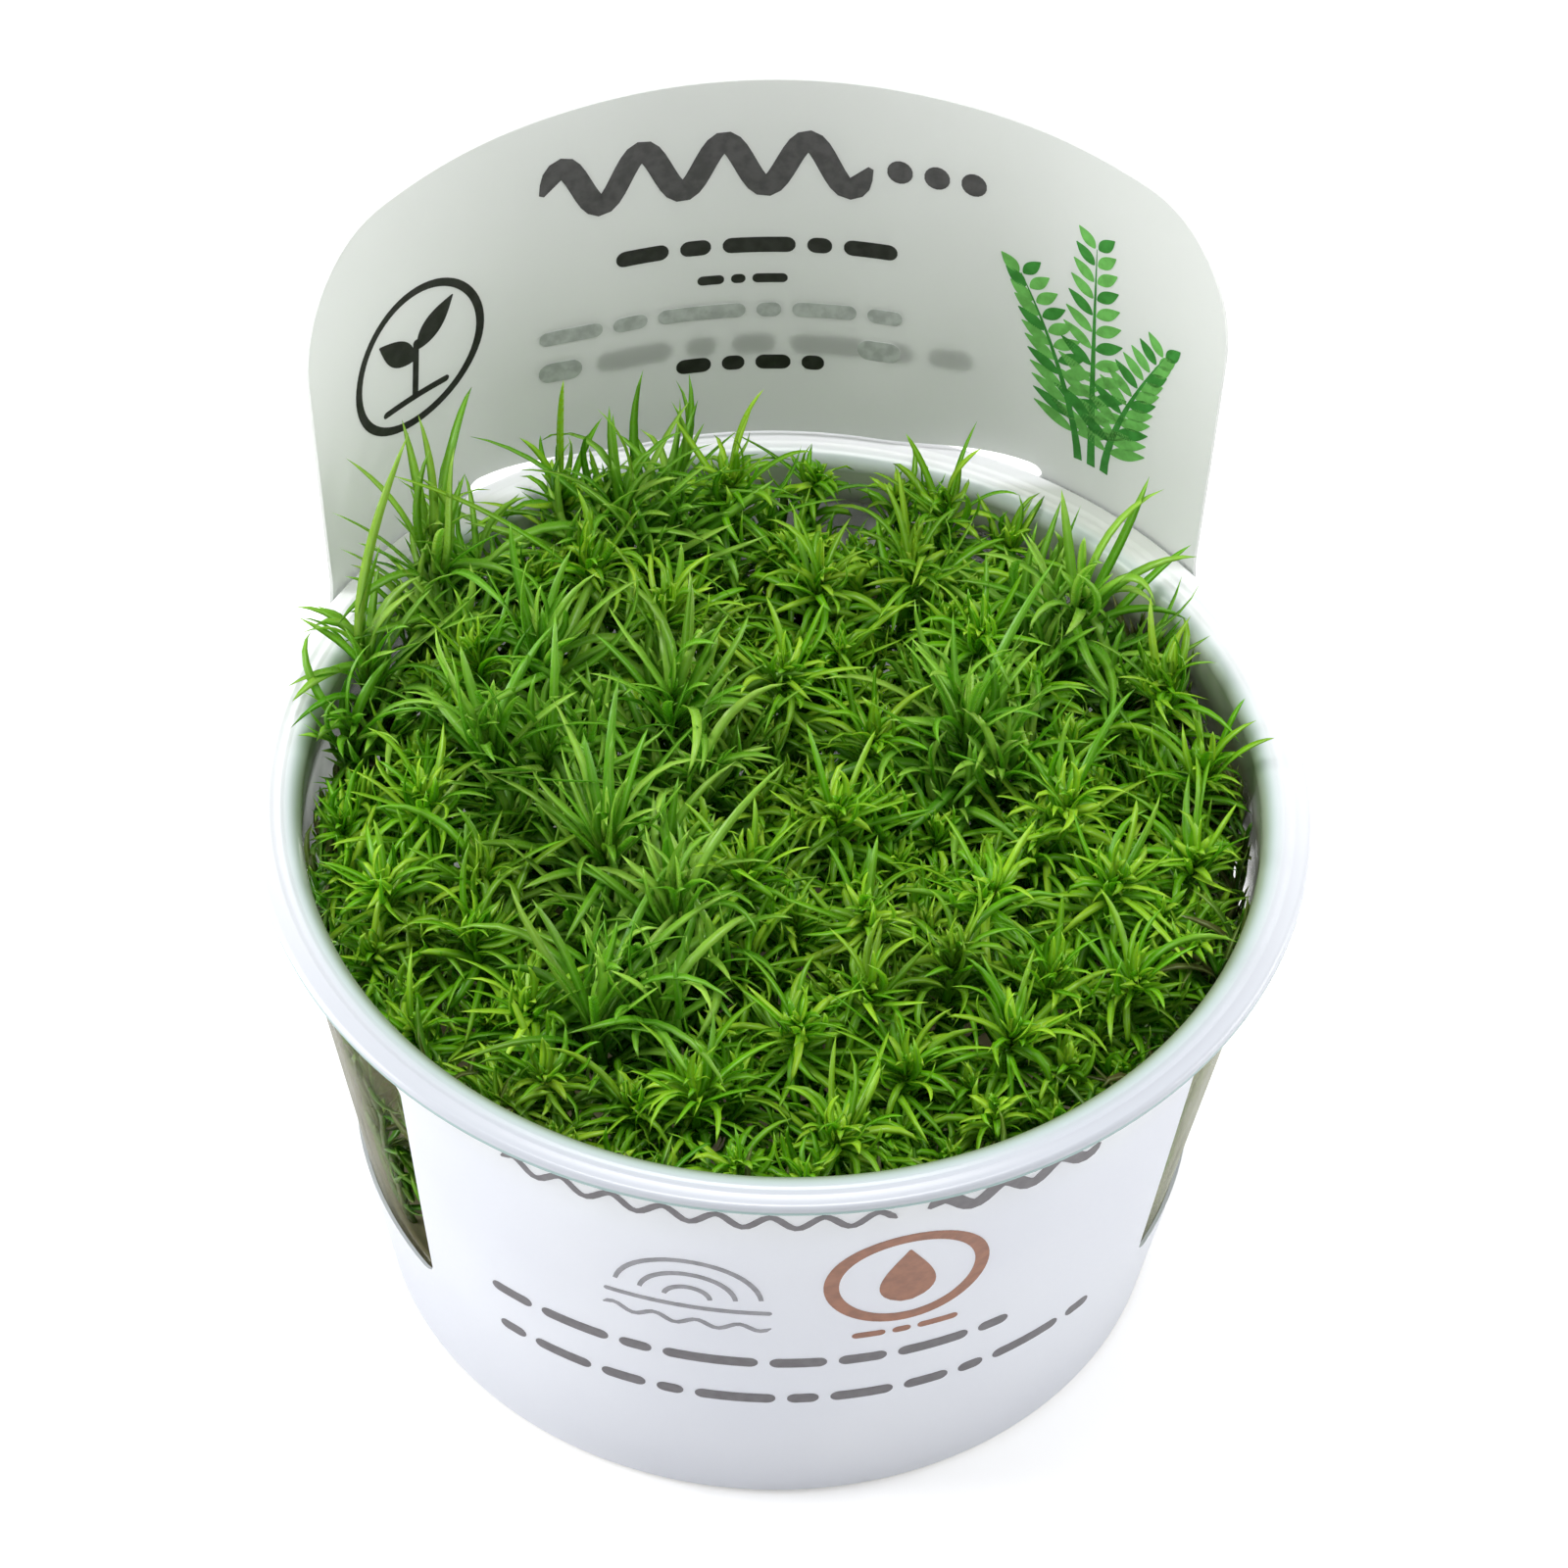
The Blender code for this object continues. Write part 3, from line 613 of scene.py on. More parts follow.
def slot_cutter():
    """A round-ended bar through the back of the sleeve, level with the cup's flange."""
    half_width = RIM_RADIUS * math.sin(math.radians(SLOT_HALF_ANGLE))
    height = SLOT_TOP - SLOT_BOTTOM
    bm = bmesh.new()
    bmesh.ops.create_cube(bm, size=1.0)
    bmesh.ops.scale(bm, vec=(2.0 * half_width * MM, 30.0 * MM, height * MM), verts=bm.verts)
    bmesh.ops.translate(bm, vec=(0.0, 50.0 * MM, (SLOT_BOTTOM + height / 2.0) * MM), verts=bm.verts)
    round_long_edges(bm, height / 2.0 - 0.1)
    return finish_bmesh("slot_cutter", bm)


def window_cutter(side):
    """A tapered bar through one side of the belt, wider at the top as the cone is."""
    middle = (WINDOW_FRONT_BOTTOM_ANGLE + WINDOW_BACK_ANGLE) / 2.0
    bm = bmesh.new()
    bmesh.ops.create_cube(bm, size=1.0)
    for vert in bm.verts:
        upper = vert.co.z > 0.0
        z = WINDOW_TOP if upper else WINDOW_BOTTOM
        front = WINDOW_FRONT_TOP_ANGLE if upper else WINDOW_FRONT_BOTTOM_ANGLE
        edge = front if vert.co.x * side > 0.0 else WINDOW_BACK_ANGLE
        x = sleeve_radius(180.0, z) * math.sin(math.radians(middle - edge)) * side
        vert.co = (x * MM, (45.0 + 30.0 * vert.co.y) * MM, z * MM)
    round_long_edges(bm, 2.0)
    turn = -side * math.radians(180.0 - middle)
    bmesh.ops.rotate(bm, cent=(0, 0, 0), verts=bm.verts, matrix=Matrix.Rotation(turn, 3, "Z"))
    return finish_bmesh("window_cutter", bm)


def make_sleeve():
    """The white sheet, thickened outwards, and cut for the slot and both windows."""
    helper = add_object("helper", sleeve_face())
    thickness = helper.modifiers.new("Sheet", "SOLIDIFY")
    thickness.thickness = SHEET * MM
    thickness.offset = 1.0
    thickness.use_even_offset = True
    meshes = (slot_cutter(), window_cutter(1), window_cutter(-1))
    cutters = [add_object("cutter", mesh) for mesh in meshes]
    for cutter in cutters:
        cut = helper.modifiers.new("Cut", "BOOLEAN")
        cut.operation = "DIFFERENCE"
        cut.solver = "EXACT"
        cut.object = cutter
    graph = bpy.context.evaluated_depsgraph_get()
    mesh = bpy.data.meshes.new_from_object(helper.evaluated_get(graph))
    mesh.name = "white_sleeve"
    for done in (helper, *cutters):
        bpy.data.objects.remove(done, do_unlink=True)
    mesh.set_sharp_from_angle(angle=math.radians(35))
    add_piece("white_sleeve", mesh, sheet_material(), ["sleeve"])


# Printed marks

def on_belt(across, z, lift):
    """A point above the belt's front, across from its middle to the right."""
    return on_sheet(180.0 - math.degrees(across / sleeve_radius(180.0, z)), z, SHEET + lift)


def on_tab(across, z, lift):
    """A point above the tab's inner face, across from its middle to the right."""
    return on_sheet(math.degrees(across / sleeve_radius(0.0, z)), z, -lift)


def behind_tab(across, z, lift):
    """A point above the tab's outer face, across from its middle to the right."""
    return on_sheet(math.degrees(across / sleeve_radius(0.0, z)), z, SHEET + lift)


class Print:
    """Marks of one ink, each a thin closed slab on a face of the sheet."""

    def __init__(self, name, face, ink_name, colour):
        self.name = name
        self.face = face
        self.ink = ink_material(ink_name, colour)
        self.bm = bmesh.new()

    def stroke(self, path, halves, closed=False):
        """Adds a stroke along a path of points across and up the sheet, with half-widths."""
        path = np.array(path, float)
        ahead = np.gradient(path, axis=0)
        if closed:
            ahead = np.roll(path, -1, axis=0) - np.roll(path, 1, axis=0)
        ahead /= np.linalg.norm(ahead, axis=1)[:, None]
        rows = []
        for centre, (forward, up), half in zip(path, ahead, halves):
            side = np.array([-up, forward]) * half
            marks = [centre + side * share for share in np.linspace(-1.0, 1.0, INK_STEPS + 1)]
            row = [self.bm.verts.new(self.face(*mark, INK_ABOVE)) for mark in marks]
            row += [self.bm.verts.new(self.face(*mark, -INK_BELOW)) for mark in reversed(marks)]
            rows.append(row)
        for row, after in zip(rows, rows[1:] + (rows[:1] if closed else [])):
            for corner in range(len(row)):
                self.bm.faces.new((row[corner - 1], row[corner], after[corner], after[corner - 1]))
        if not closed:
            self.bm.faces.new(rows[0])
            self.bm.faces.new(rows[-1])

    def bar(self, start, end, half):
        """A bar with round ends."""
        start, end = np.array(start, float), np.array(end, float)
        length = float(np.linalg.norm(end - start))
        cap = half * (1.0 - np.cos(np.radians([12, 30, 50, 70])))
        middle = np.linspace(half, length - half, 2 + int((length - 2 * half) / 1.5))
        along = np.concatenate([cap, middle, length - cap[::-1]])
        short = half - np.minimum(np.minimum(along, length - along), half)
        path = start + (end - start) * (along / length)[:, None]
        self.stroke(path, np.sqrt(half ** 2 - short ** 2))

    def dot(self, centre, radius):
        """A round dot."""
        across, z = centre
        self.bar((across - radius, z), (across + radius - 0.001, z), radius - 0.001)

    def dashes(self, start, end, z, half, lengths):
        """A row of short bars whose lengths repeat, from one place across to another."""
        place = start
        number = 0
        while place + lengths[number % len(lengths)] < end:
            reach = place + lengths[number % len(lengths)]
            self.bar((place, z), (reach, z), half)
            place = reach + 1.3 * half
            number += 1

    @staticmethod
    def on_circle(centre, radius, turn):
        """Points of a circle at some angles."""
        return np.stack([centre[0] + radius * np.cos(turn), centre[1] + radius * np.sin(turn)], 1)

    def ring(self, centre, radius, half):
        """A round outline."""
        turn = np.linspace(0.0, 2.0 * math.pi, 64, endpoint=False)
        self.stroke(self.on_circle(centre, radius, turn), [half] * 64, closed=True)

    def bow(self, centre, radius, half, start, end):
        """A part of a round outline, between two angles in degrees."""
        turn = np.radians(np.linspace(start, end, 24))
        halves = half * np.sin(np.linspace(0.25, math.pi - 0.25, 24)) ** 0.3
        self.stroke(self.on_circle(centre, radius, turn), halves)

    def wave(self, start, end, z, height, period, half):
        """A wavy line."""
        across = np.linspace(start, end, 2 + int((end - start) / 0.5))
        path = np.stack([across, z + height * np.sin((across - start) * 2.0 * math.pi / period)], 1)
        ends = np.minimum(across - start, end - across)
        self.stroke(path, half * np.clip(ends / half, 0.06, 1.0) ** 0.5)

    def petal(self, base, tip, half, fullest=0.8):
        """A leaf or a drop, round at its base and pointed at its tip."""
        t = np.linspace(0.012, 0.985, 16)
        path = np.array(base, float) + (np.array(tip, float) - np.array(base)) * t[:, None]
        self.stroke(path, half * np.sin(math.pi * t ** fullest) + 0.02)

    def finish(self):
        """Makes the piece."""
        bmesh.ops.recalc_face_normals(self.bm, faces=self.bm.faces)
        add_piece(self.name, finish_bmesh(self.name, self.bm), self.ink)


def print_tab_title():
    """A bold wave with three dots, and bars of rows under it."""
    grey = Print("print_wave", on_tab, "dark_grey_ink", (0.06, 0.055, 0.06))
    grey.wave(-21.0, 11.0, 88.2, 2.6, 8.0, 1.15)
    for across in (13.8, 17.4, 21.0):
        grey.dot((across, 88.2), 1.25)
    grey.finish()
    black = Print("print_rows", on_tab, "black_ink", (0.014, 0.012, 0.013))
    black.dashes(-13.5, 14.5, 79.0, 0.85, (5.2, 3.0, 7.0, 2.4))
    black.dashes(-5.5, 6.0, 75.2, 0.5, (2.6, 1.4, 3.4))
    black.dashes(-7.5, 9.0, 65.6, 0.8, (3.4, 2.2))
    black.ring((-34.5, 76.0), 7.4, 0.42)
    black.bar((-38.5, 71.4), (-30.5, 71.4), 0.35)
    black.bar((-34.5, 71.4), (-34.5, 77.8), 0.35)
    black.petal((-34.6, 75.6), (-39.2, 79.6), 1.25)
    black.petal((-34.4, 76.6), (-30.2, 80.8), 1.25)
    black.face = behind_tab
    black.dashes(-21.0, 22.0, 71.6, 0.8, UPPER_BARS)
    black.dashes(-21.0, 22.0, 67.6, 1.1, LOWER_BARS)
    black.finish()
    # Painted shade: grey marks on the tab's inner face over the rows printed behind it, for the shade
    # those rows cast through the sheet.
    ghost = Print("print_show_through", on_tab, "show_through", (0.42, 0.44, 0.43))
    ghost.dashes(-21.0, 22.0, 71.6, 0.8, UPPER_BARS)
    ghost.dashes(10.0, 22.0, 67.6, 1.1, LOWER_BARS)
    ghost.dashes(-21.0, -8.0, 67.6, 1.1, LOWER_BARS)
    ghost.finish()


def print_sprig():
    """A green sprig on the right of the tab: three bent stems with pairs of leaves."""
    dark = Print("print_sprig_dark", on_tab, "green_ink", (0.03, 0.2, 0.025))
    pale = Print("print_sprig_pale", on_tab, "pale_green_ink", (0.12, 0.38, 0.075))
    for lean, height in ((-6.0, 19.0), (0.5, 25.0), (7.0, 17.0)):
        t = np.linspace(0.0, 1.0, 14)
        stem = np.stack([33.0 + 0.22 * lean + lean * t ** 1.5, 60.5 + height * t], 1)
        dark.stroke(stem, 0.42 * (1.05 - t))
        for number, (across, z) in enumerate(stem[2:]):
            reach = 4.4 * (1.0 - 0.05 * number)
            for side in (-1, 1):
                ink = pale if (number + side) % 3 else dark
                ink.petal((across + 0.2 * side, z), (across + side * reach, z + 1.9), 0.62)
    dark.finish()
    pale.finish()


def print_belt():
    """Marks on the belt's front: a wavy line, a drop in a ring, ripples, and rows of bars."""
    grey = Print("print_belt_rows", on_belt, "grey_ink", (0.06, 0.055, 0.062))
    grey.wave(-30.0, 8.0, 51.6, 1.0, 5.0, 0.42)
    grey.wave(11.0, 29.0, 51.6, 1.2, 6.0, 0.85)
    grey.dashes(-31.0, 30.0, 25.2, 0.82, (4.6, 7.0, 3.2, 9.0, 5.4))
    grey.dashes(-30.0, 31.0, 18.4, 0.82, (3.0, 6.0, 4.4, 2.6, 7.6))
    grey.finish()
    fine = Print("print_ripples", on_belt, "pale_grey_ink", (0.14, 0.14, 0.155))
    for radius in (2.2, 4.6, 7.0):
        fine.bow((-11.0, 36.0), radius, 0.34, 8, 172)
    fine.bar((-19.0, 34.6), (-3.0, 34.6), 0.34)
    fine.wave(-19.0, -3.0, 31.8, 0.55, 4.0, 0.3)
    fine.finish()
    brown = Print("print_drop", on_belt, "brown_ink", (0.17, 0.052, 0.014))
    brown.ring((9.6, 39.4), 7.3, 0.72)
    brown.petal((9.6, 34.9), (9.6, 44.6), 2.7, 0.62)
    brown.dashes(4.6, 15.0, 29.6, 0.5, (3.2, 1.8, 4.0))
    brown.finish()


# Leaves

def arching(base, lean, azimuth, start, end, sway, length):
    """A leaf's midline, whose rise turns from start to end while it sways sideways.

    The rise and azimuth are counted from the shoot's own axis, which the lean matrix tilts. The
    leaf turns most near its tip.
    """
    sections = min(max(round(length / SECTION_LENGTH), FEWEST_SECTIONS), MOST_SECTIONS)
    share = (np.arange(sections) + 0.5) / sections
    rise = np.radians(start + (end - start) * share ** HOOK)
    turn = np.radians(azimuth + sway * share ** HOOK)
    steps = np.stack([np.cos(rise) * np.cos(turn), np.cos(rise) * np.sin(turn), np.sin(rise)], 1)
    steps = steps @ lean.T
    return base + np.vstack([np.zeros(3), np.cumsum(steps, 0)]) * (length / sections)


def bowed(base, middle, tip):
    """A midline through a packed leaf's base, middle and tip."""
    at_middle = 0.45
    knee = middle - base * (1 - at_middle) ** 2 - tip * at_middle ** 2
    knee = knee / (2 * at_middle * (1 - at_middle))
    return bent(base, knee, tip, MOST_SECTIONS + 1)


def bent(start, knee, end, count):
    """Points of a curve that bends towards a knee between its ends."""
    t = np.linspace(0.0, 1.0, count)[:, None]
    return start * (1 - t) ** 2 + knee * (2 * t * (1 - t)) + end * t ** 2


def room_for(midline, margin):
    """True when a leaf's midline is clear of the cup's wall, its flange and the tab."""
    for x, y, z in midline[2:]:
        radius = math.hypot(x, y) + margin
        if z < RIM_HEIGHT + GAP + margin:
            limit = inner_wall(z) - GAP
        else:
            angle = math.degrees(math.atan2(x, y))
            behind = abs(angle) < TAB_HALF_ANGLE + 8.0
            limit = sleeve_radius(angle, z) - GAP if behind else RIM_RADIUS
        if radius > limit or z < GEL_TOP:
            return False
    return True


class Foliage:
    """The blades and stems of one plantlet, gathered as one mesh's vertices and faces."""

    def __init__(self, rng):
        self.rng = rng
        self.points = []
        self.faces = []
        self.facts = []

    def add_blade(self, midline, width, twist, tone, youth):
        """Adds one narrow leaf: grooved above, keeled below, widest before its middle."""
        chord = midline[-1] - midline[0]
        outward = math.atan2(chord[1], chord[0])
        level = np.array([-math.sin(outward), math.cos(outward), 0.0])
        tangents = np.gradient(midline, axis=0)
        tangents /= np.linalg.norm(tangents, axis=1)[:, None]
        rings = []
        facts = []
        sections = len(midline) - 1
        for number in range(sections):
            t = number / sections
            normal = np.cross(tangents[number], level)
            normal /= np.linalg.norm(normal) + 1e-9
            angle = twist * t
            side = level * math.cos(angle) + normal * math.sin(angle)
            face = np.cross(tangents[number], side)
            half = 0.5 * width * (0.65 + 0.35 * min(t / 0.3, 1.0)) * (1.0 - t ** 5)
            fold = 0.45 * half
            thick = 0.5 * LEAF_THICKNESS * (1.0 - 0.6 * t)
            centre = midline[number]
            rings.append(np.array([
                centre - side * half + face * fold, centre - face * thick,
                centre + side * half + face * fold, centre + face * thick]))
            facts += [(t, tone, youth, from_rib) for from_rib in (1.0, 0.0, 1.0, 0.0)]
        rings.append(midline[-1][None, :])
        facts.append((1.0, tone, youth, 0.0))
        self.add_rings(rings, facts)

    def add_rings(self, rings, facts):
        """Adds a closed tube through rings of points, the last of which is a single point."""
        size = len(rings[0])
        first = len(self.points)
        tip = first + (len(rings) - 1) * size
        self.points.extend(np.concatenate(rings))
        self.facts.extend(facts)
        for start in range(first, tip - size, size):
            for corner in range(size):
                after = (corner + 1) % size
                self.faces.append((start + corner, start + after, start + size + after,
                                   start + size + corner))
        for corner in range(size):
            self.faces.append((tip - size + corner, tip - size + (corner + 1) % size, tip))
        self.faces.append(tuple(first + corner for corner in reversed(range(size))))

    def add_stem(self, path, thick, thin, youth=0.4):
        """Adds a round stem along a path, drawn to a point at its end."""
        tangents = np.gradient(path, axis=0)
        rings = []
        for number, centre in enumerate(path[:-1]):
            along = tangents[number] / np.linalg.norm(tangents[number])
            across = np.cross(along, [1.0, 0.0, 0.0])
            across /= np.linalg.norm(across)
            other = np.cross(along, across)
            radius = thick + (thin - thick) * number / len(path)
            ring = []
            for corner in range(STEM_SIDES):
                angle = 2.0 * math.pi * corner / STEM_SIDES
                ring.append(centre + (across * math.cos(angle) + other * math.sin(angle)) * radius)
            rings.append(np.array(ring))
        rings.append(path[-1][None, :])
        self.add_rings(rings, [(0.3, 0.5, youth, 1.0)] * (STEM_SIDES * (len(path) - 1) + 1))

    def to_mesh(self, name):
        """The gathered mesh, with its facts for the leaf material."""
        mesh = bpy.data.meshes.new(name)
        mesh.from_pydata((np.array(self.points) * MM).tolist(), [], self.faces)
        colours = mesh.color_attributes.new("leaf", "FLOAT_COLOR", "POINT")
        colours.data.foreach_set("color", np.array(self.facts, np.float32).ravel())
        mesh.shade_smooth()
        bm = bmesh.new()
        bm.from_mesh(mesh)
        bmesh.ops.recalc_face_normals(bm, faces=bm.faces)
        bm.to_mesh(mesh)
        bm.free()
        return mesh


def grow_whorl(foliage, base, lean, whorl, turn, width, vigour):
    """Grows the leaves of one whorl, each turned, raised or shortened until it has room."""
    rng = foliage.rng
    depth, count, length, start, end = whorl
    youth = 1.0 / (1.0 + (depth / 5.0) ** 1.5)
    for number in range(count):
        azimuth = turn + 360.0 * number / count + rng.uniform(-24, 24)
        size = length * vigour * rng.uniform(0.6, 1.25)
        begin = start + rng.uniform(-20, 14)
        finish = end + rng.uniform(-75, 30)
        if rng.random() < CURLED_SHARE:
            finish = begin + rng.uniform(*CURL)
        add_leaf(foliage, (base, lean, azimuth, begin, finish, rng.uniform(-90, 90), size),
                 width * rng.uniform(0.75, 1.2),
                 min(max(youth * rng.uniform(0.75, 1.15), 0.16), 1.0))


def add_leaf(foliage, course, width, youth):
    """Adds a leaf that follows a course, raised and shortened until it has room."""
    rng = foliage.rng
    base, lean, azimuth, begin, finish, sway, size = course
    tone = rng.random()
    twist = rng.uniform(-1.2, 1.2)
    for _ in range(8):
        midline = arching(base, lean, azimuth, begin, finish, sway, size)
        if room_for(midline, 0.5 * width):
            foliage.add_blade(midline, width, twist, tone, youth)
            return
        begin = min(begin + 8.0, 88.0)
        finish = min(finish + 16.0, 84.0)
        size *= 0.93


def grow_shoot(foliage, path, look, count, width, vigour):
    """Grows the first whorls of a shoot down its path, which ends at the shoot's tip."""
    rng = foliage.rng
    steps = np.linalg.norm(np.diff(path, axis=0), axis=1)
    length = float(steps.sum())
    travelled = np.concatenate([[0.0], np.cumsum(steps)])

    def at_depth(depth):
        return np.array([np.interp(length - depth, travelled, path[:, axis]) for axis in range(3)])

    lean = np.array(Matrix.Rotation(math.radians(rng.uniform(0, 32)), 3,
                                    Vector((rng.uniform(-1, 1), rng.uniform(-1, 1), 0.001))))
    turn = rng.uniform(0.0, 360.0)
    for whorl in WHORLS[look][:count]:
        if whorl[0] > length - 1.5:
            break
        turn += 180.0 / whorl[1] + rng.uniform(-10, 10)
        grow_whorl(foliage, at_depth(whorl[0]), lean, whorl, turn, width, vigour)
    most, shortest, longest = STRAYS[look]
    for _ in range(rng.randint(0, most)):
        course = (at_depth(rng.uniform(2.0, 8.0)), lean, rng.uniform(0, 360), rng.uniform(62, 84),
                  rng.uniform(-50, 30), rng.uniform(-50, 50), rng.uniform(shortest, longest) * vigour)
        add_leaf(foliage, course, width * rng.uniform(0.9, 1.15), rng.uniform(0.35, 0.8))


def grow_edge(foliage, path, width):
    """Grows the old, drooping leaves of a shoot that stands against the cup's wall."""
    rng = foliage.rng
    upright = np.identity(3)
    for number, base in enumerate(path[1:]):
        for _ in range(rng.randint(2, 6) + number // 2):
            course = (base, upright, rng.uniform(0, 360), rng.uniform(-20, 75), rng.uniform(-80, 60),
                      rng.uniform(-90, 90), rng.uniform(4.0, 10.0))
            # Their low youth makes leaf_material paint them dark olive-brown, partly as the colour of
            # old leaves and partly as painted shade.
            add_leaf(foliage, course, width * rng.uniform(0.7, 1.2), rng.uniform(0.0, 0.14))


class Plantlet:
    """A packed plantlet: its stem's foot and tip, and the lines of its leaves."""

    def __init__(self, node):
        bm = bmesh.new()
        bm.from_mesh(frame["nodes"][node].data)
        bmesh.ops.remove_doubles(bm, verts=bm.verts, dist=0.000001)
        bm.verts.ensure_lookup_table()
        self.node = node
        self.leaves = []
        for tip in sorted((v for v in bm.verts if len(v.link_edges) == 3), key=lambda v: tuple(v.co)):
            near = [edge.other_vert(tip) for edge in tip.link_edges]
            middle = self.mean(near)
            heights = [vert.co.z for vert in near]
            if max(heights) - min(heights) < 0.01 * MM:
                self.tip = np.array(middle)
                self.young = np.array(tip.co / MM)
                continue
            roots = {edge.other_vert(v) for v in near for edge in v.link_edges} - {tip, *near}
            roots = sorted(roots, key=lambda v: tuple(v.co))
            self.leaves.append((np.array(self.mean(roots)), np.array(middle),
                                np.array(tip.co / MM)))
        self.foot = np.array(self.mean(sorted(bm.verts, key=lambda v: v.co.z)[:3]))
        bm.free()

    @staticmethod
    def mean(verts):
        """The middle of some vertices, in millimetres."""
        return sum((vert.co for vert in verts), Vector()) / (len(verts) * MM)

    def stem(self, count=9):
        """The stem's line from its foot to its tip, with a slight bend of its own."""
        t = np.linspace(0.0, 1.0, count)[:, None]
        rng = random.Random(self.node)
        bend = np.array([rng.uniform(-1.2, 1.2), rng.uniform(-1.2, 1.2), 0.0])
        return self.foot + (self.tip - self.foot) * t + bend * np.sin(math.pi * t) * (1.0 - t)


def nearest(plantlets, spot):
    """The number of the plantlet whose tip is nearest to a spot, seen from above."""
    return min(range(len(plantlets)),
               key=lambda number: float(np.linalg.norm((plantlets[number].tip - spot)[:2])))


def side_shoots(rng, plantlets):
    """Tips of side shoots that fill the bed between the main ones, each with its plantlet."""
    tips = [plant.tip for plant in plantlets]
    made = []
    for _ in range(6000):
        radius = BED_RADIUS * math.sqrt(rng.random())
        angle = rng.uniform(0.0, 2.0 * math.pi)
        x, y = radius * math.cos(angle), radius * math.sin(angle)
        distances = [math.hypot(tip[0] - x, tip[1] - y) for tip in tips]
        in_hollow = any(math.hypot(across - x, away - y) < reach for across, away, reach in HOLLOWS)
        if in_hollow or min(distances) < SIDE_SHOOT_SPACING:
            continue
        owner = min(range(len(plantlets)), key=lambda n: distances[n])
        weights = [1.0 / (d + 1.0) ** 3 for d in distances[:len(plantlets)]]
        level = sum(w * p.tip[2] for w, p in zip(weights, plantlets)) / sum(weights)
        tip = np.array([x, y, level - rng.uniform(1.5, 7.5)])
        tips.append(tip)
        made.append((owner, tip))
    return made


def wall_shoots(rng, plantlets):
    """Shoots that stand against the cup's wall from the gel up, each with its plantlet."""
    made = []
    for number in range(WALL_SHOOTS):
        angle = 2.0 * math.pi * (number + rng.uniform(-0.3, 0.3)) / WALL_SHOOTS
        towards = np.array([math.cos(angle), math.sin(angle), 0.0])
        height = rng.uniform(43.0, 50.5)
        sideways = np.array([-towards[1], towards[0], 0.0])
        drift, wander, phase = rng.uniform(-6.0, 6.0), rng.uniform(0.4, 1.6), rng.uniform(0.0, 6.0)
        path = []
        for z in np.linspace(GEL_TOP - 1.0, height, 12):
            inset = 0.5 + 0.8 * abs(math.sin(0.35 * z + number))
            aside = drift * z / height + wander * math.sin(0.22 * z + phase)
            spot = towards * RIM_RADIUS + sideways * aside
            spot *= (inner_wall(z) - inset) / float(np.linalg.norm(spot))
            path.append(spot + np.array([0.0, 0.0, z]))
        made.append((nearest(plantlets, path[-1]), np.array(path)))
    return made


def laid_leaves(plantlets):
    """The midlines of the long leaves that lie over the bed, each with its plantlet."""
    made = []
    for base, tip, arch in LAID_LEAVES:
        base, tip = np.array(base, float), np.array(tip, float)
        middle = (base + tip) / 2 + np.array([0.0, 0.0, arch])
        made.append((nearest(plantlets, base), bowed(base, middle, tip)))
    return made


def make_plants():
    """All the plantlets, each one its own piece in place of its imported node."""
    looks = {
        "fine_leaf": leaf_material("fine_leaf_look", (0.06, 0.27, 0.003, 1), (0.17, 0.5, 0.005, 1),
                                   (0.5, 0.78, 0.04, 1)),
        "broad_leaf": leaf_material("broad_leaf_look", (0.06, 0.27, 0.008, 1),
                                    (0.18, 0.48, 0.02, 1), (0.48, 0.76, 0.1, 1)),
    }
    slots = {part["node"]: part["material_slot"] for part in frame["record"]["subparts"]}
    names = sorted(name for name in frame["nodes"] if name.startswith("plantlet_"))
    plantlets = [Plantlet(name) for name in names]
    rng = random.Random(SEED)
    shoots = side_shoots(rng, plantlets)
    edge = wall_shoots(rng, plantlets)
    laid = laid_leaves(plantlets)
    for number, plant in enumerate(plantlets):
        slot = slots[plant.node]
        width = LEAF_WIDTHS[slot]
        foliage = Foliage(rng)
        stem = plant.stem()
        foliage.add_stem(stem, STEM_RADIUS, 0.7 * STEM_RADIUS)
        add_packed_leaves(foliage, plant, width)
        for midline in owned_by(number, laid):
            foliage.add_blade(midline, LAID_LEAF_WIDTH, rng.uniform(-0.4, 0.4),
                              rng.uniform(0.6, 1.0), 0.7)
        grow_shoot(foliage, stem, slot, None, width, 1.0)
        for tip in owned_by(number, shoots):
            grow_side_shoot(foliage, plant, tip, slot, width)
        for path in owned_by(number, edge):
            foliage.add_stem(path, 0.6 * STEM_RADIUS, 0.4 * STEM_RADIUS, 0.05)
            grow_edge(foliage, path, width)
        name = plant.node.replace("plantlet", "water_plant")
        add_piece(name, foliage.to_mesh(name), looks[slot], [plant.node])


def owned_by(number, made):
    """What was made for one plantlet."""
    return [thing for owner, thing in made if owner == number]


def add_packed_leaves(foliage, plant, width):
    """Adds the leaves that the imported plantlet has, each bent a little aside."""
    rng = foliage.rng
    aside = (plant.tip - plant.young) * [0.3, 0.3, 0.0] + [rng.uniform(-0.8, 0.8), 0.0, 0.0]
    foliage.add_blade(bowed(plant.tip, (plant.tip + plant.young) / 2 + aside, plant.young),
                      width, 0.5, 0.9, 1.0)
    for base, middle, tip in plant.leaves:
        aside = np.array([rng.uniform(-0.9, 0.9), rng.uniform(-0.9, 0.9), rng.uniform(-0.2, 0.6)])
        foliage.add_blade(bowed(base, middle + aside, tip), width * rng.uniform(0.8, 1.1),
                          rng.uniform(-0.5, 0.5), rng.random(), rng.uniform(0.45, 0.8))


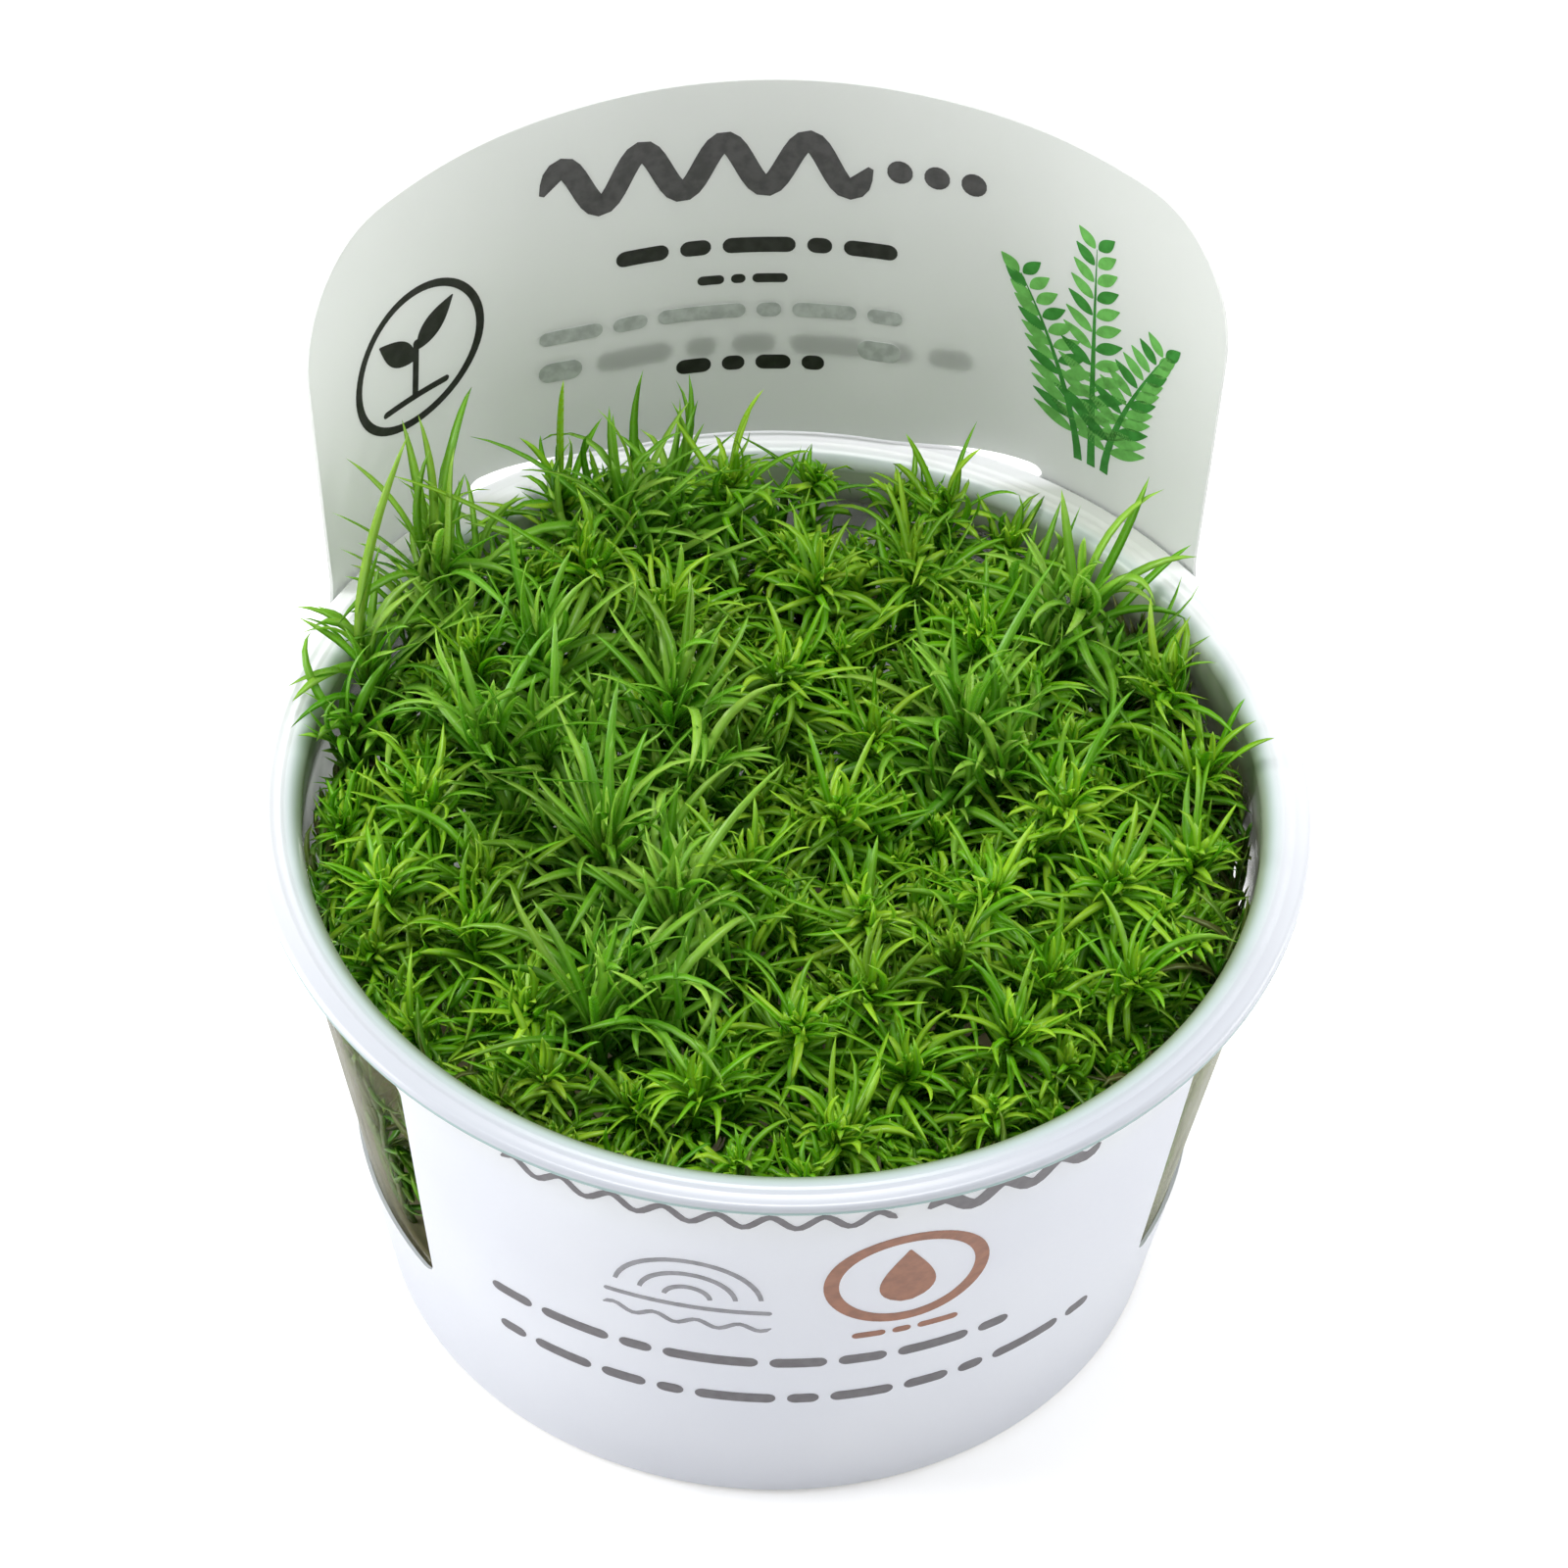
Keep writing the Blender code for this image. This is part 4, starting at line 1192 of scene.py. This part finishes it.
def grow_side_shoot(foliage, plant, tip, slot, width):
    """Grows a side shoot that leaves its plantlet's stem partway up."""
    rng = foliage.rng
    start = plant.foot + (plant.tip - plant.foot) * rng.uniform(0.3, 0.5)
    path = bent(start, np.array([tip[0], tip[1], (start[2] + tip[2]) / 2]), tip, 7)
    foliage.add_stem(path, 0.5 * STEM_RADIUS, 0.35 * STEM_RADIUS)
    grow_shoot(foliage, path, slot, SIDE_SHOOT_WHORLS, width * 0.92, rng.uniform(0.7, 0.95))


# Floor, light and camera

def make_floor():
    """The floor that the cup stands on."""
    bm = bmesh.new()
    bmesh.ops.create_grid(bm, x_segments=1, y_segments=1, size=4.0)
    floor = add_object("floor", finish_bmesh("floor", bm))
    floor.data.materials.append(floor_material())
    floor.location.z = -0.00002


def make_lights():
    """Plain soft studio light, with an even fill."""
    for name, (place, size, power) in LIGHTS.items():
        data = bpy.data.lights.new(name, "AREA")
        data.size = size
        data.energy = power
        lamp = add_object(name, data)
        lamp.location = place
        aim = Vector((0.0, 0.0, 0.05)) - Vector(place)
        lamp.rotation_euler = aim.to_track_quat("-Z", "Y").to_euler()
    world = bpy.data.worlds.new("studio")
    world.use_nodes = True
    background = world.node_tree.nodes["Background"]
    background.inputs["Color"].default_value = grey(1.0)
    background.inputs["Strength"].default_value = FILL_STRENGTH
    bpy.context.scene.world = world


def make_camera():
    """The camera at the photo's viewing angle."""
    data = bpy.data.cameras.new("camera")
    data.lens = LENS
    data.sensor_width = 36.0
    data.clip_end = 20.0
    azimuth = math.radians(CAMERA_AZIMUTH)
    elevation = math.radians(CAMERA_ELEVATION)
    back = Vector((-math.sin(azimuth) * math.cos(elevation),
                   -math.cos(azimuth) * math.cos(elevation), math.sin(elevation)))
    camera = add_object("camera", data)
    camera.location = Vector(CAMERA_AIM) * MM + back * CAMERA_DISTANCE
    roll = Quaternion((0.0, 0.0, 1.0), math.radians(CAMERA_ROLL))
    camera.rotation_mode = "QUATERNION"
    camera.rotation_quaternion = (-back).to_track_quat("-Z", "Y") @ roll
    bpy.context.scene.camera = camera


bpy.context.scene.view_settings.view_transform = "Standard"
make_cup()
make_gel()
make_sleeve()
print_tab_title()
print_sprig()
print_belt()
make_plants()
make_floor()
make_lights()
make_camera()
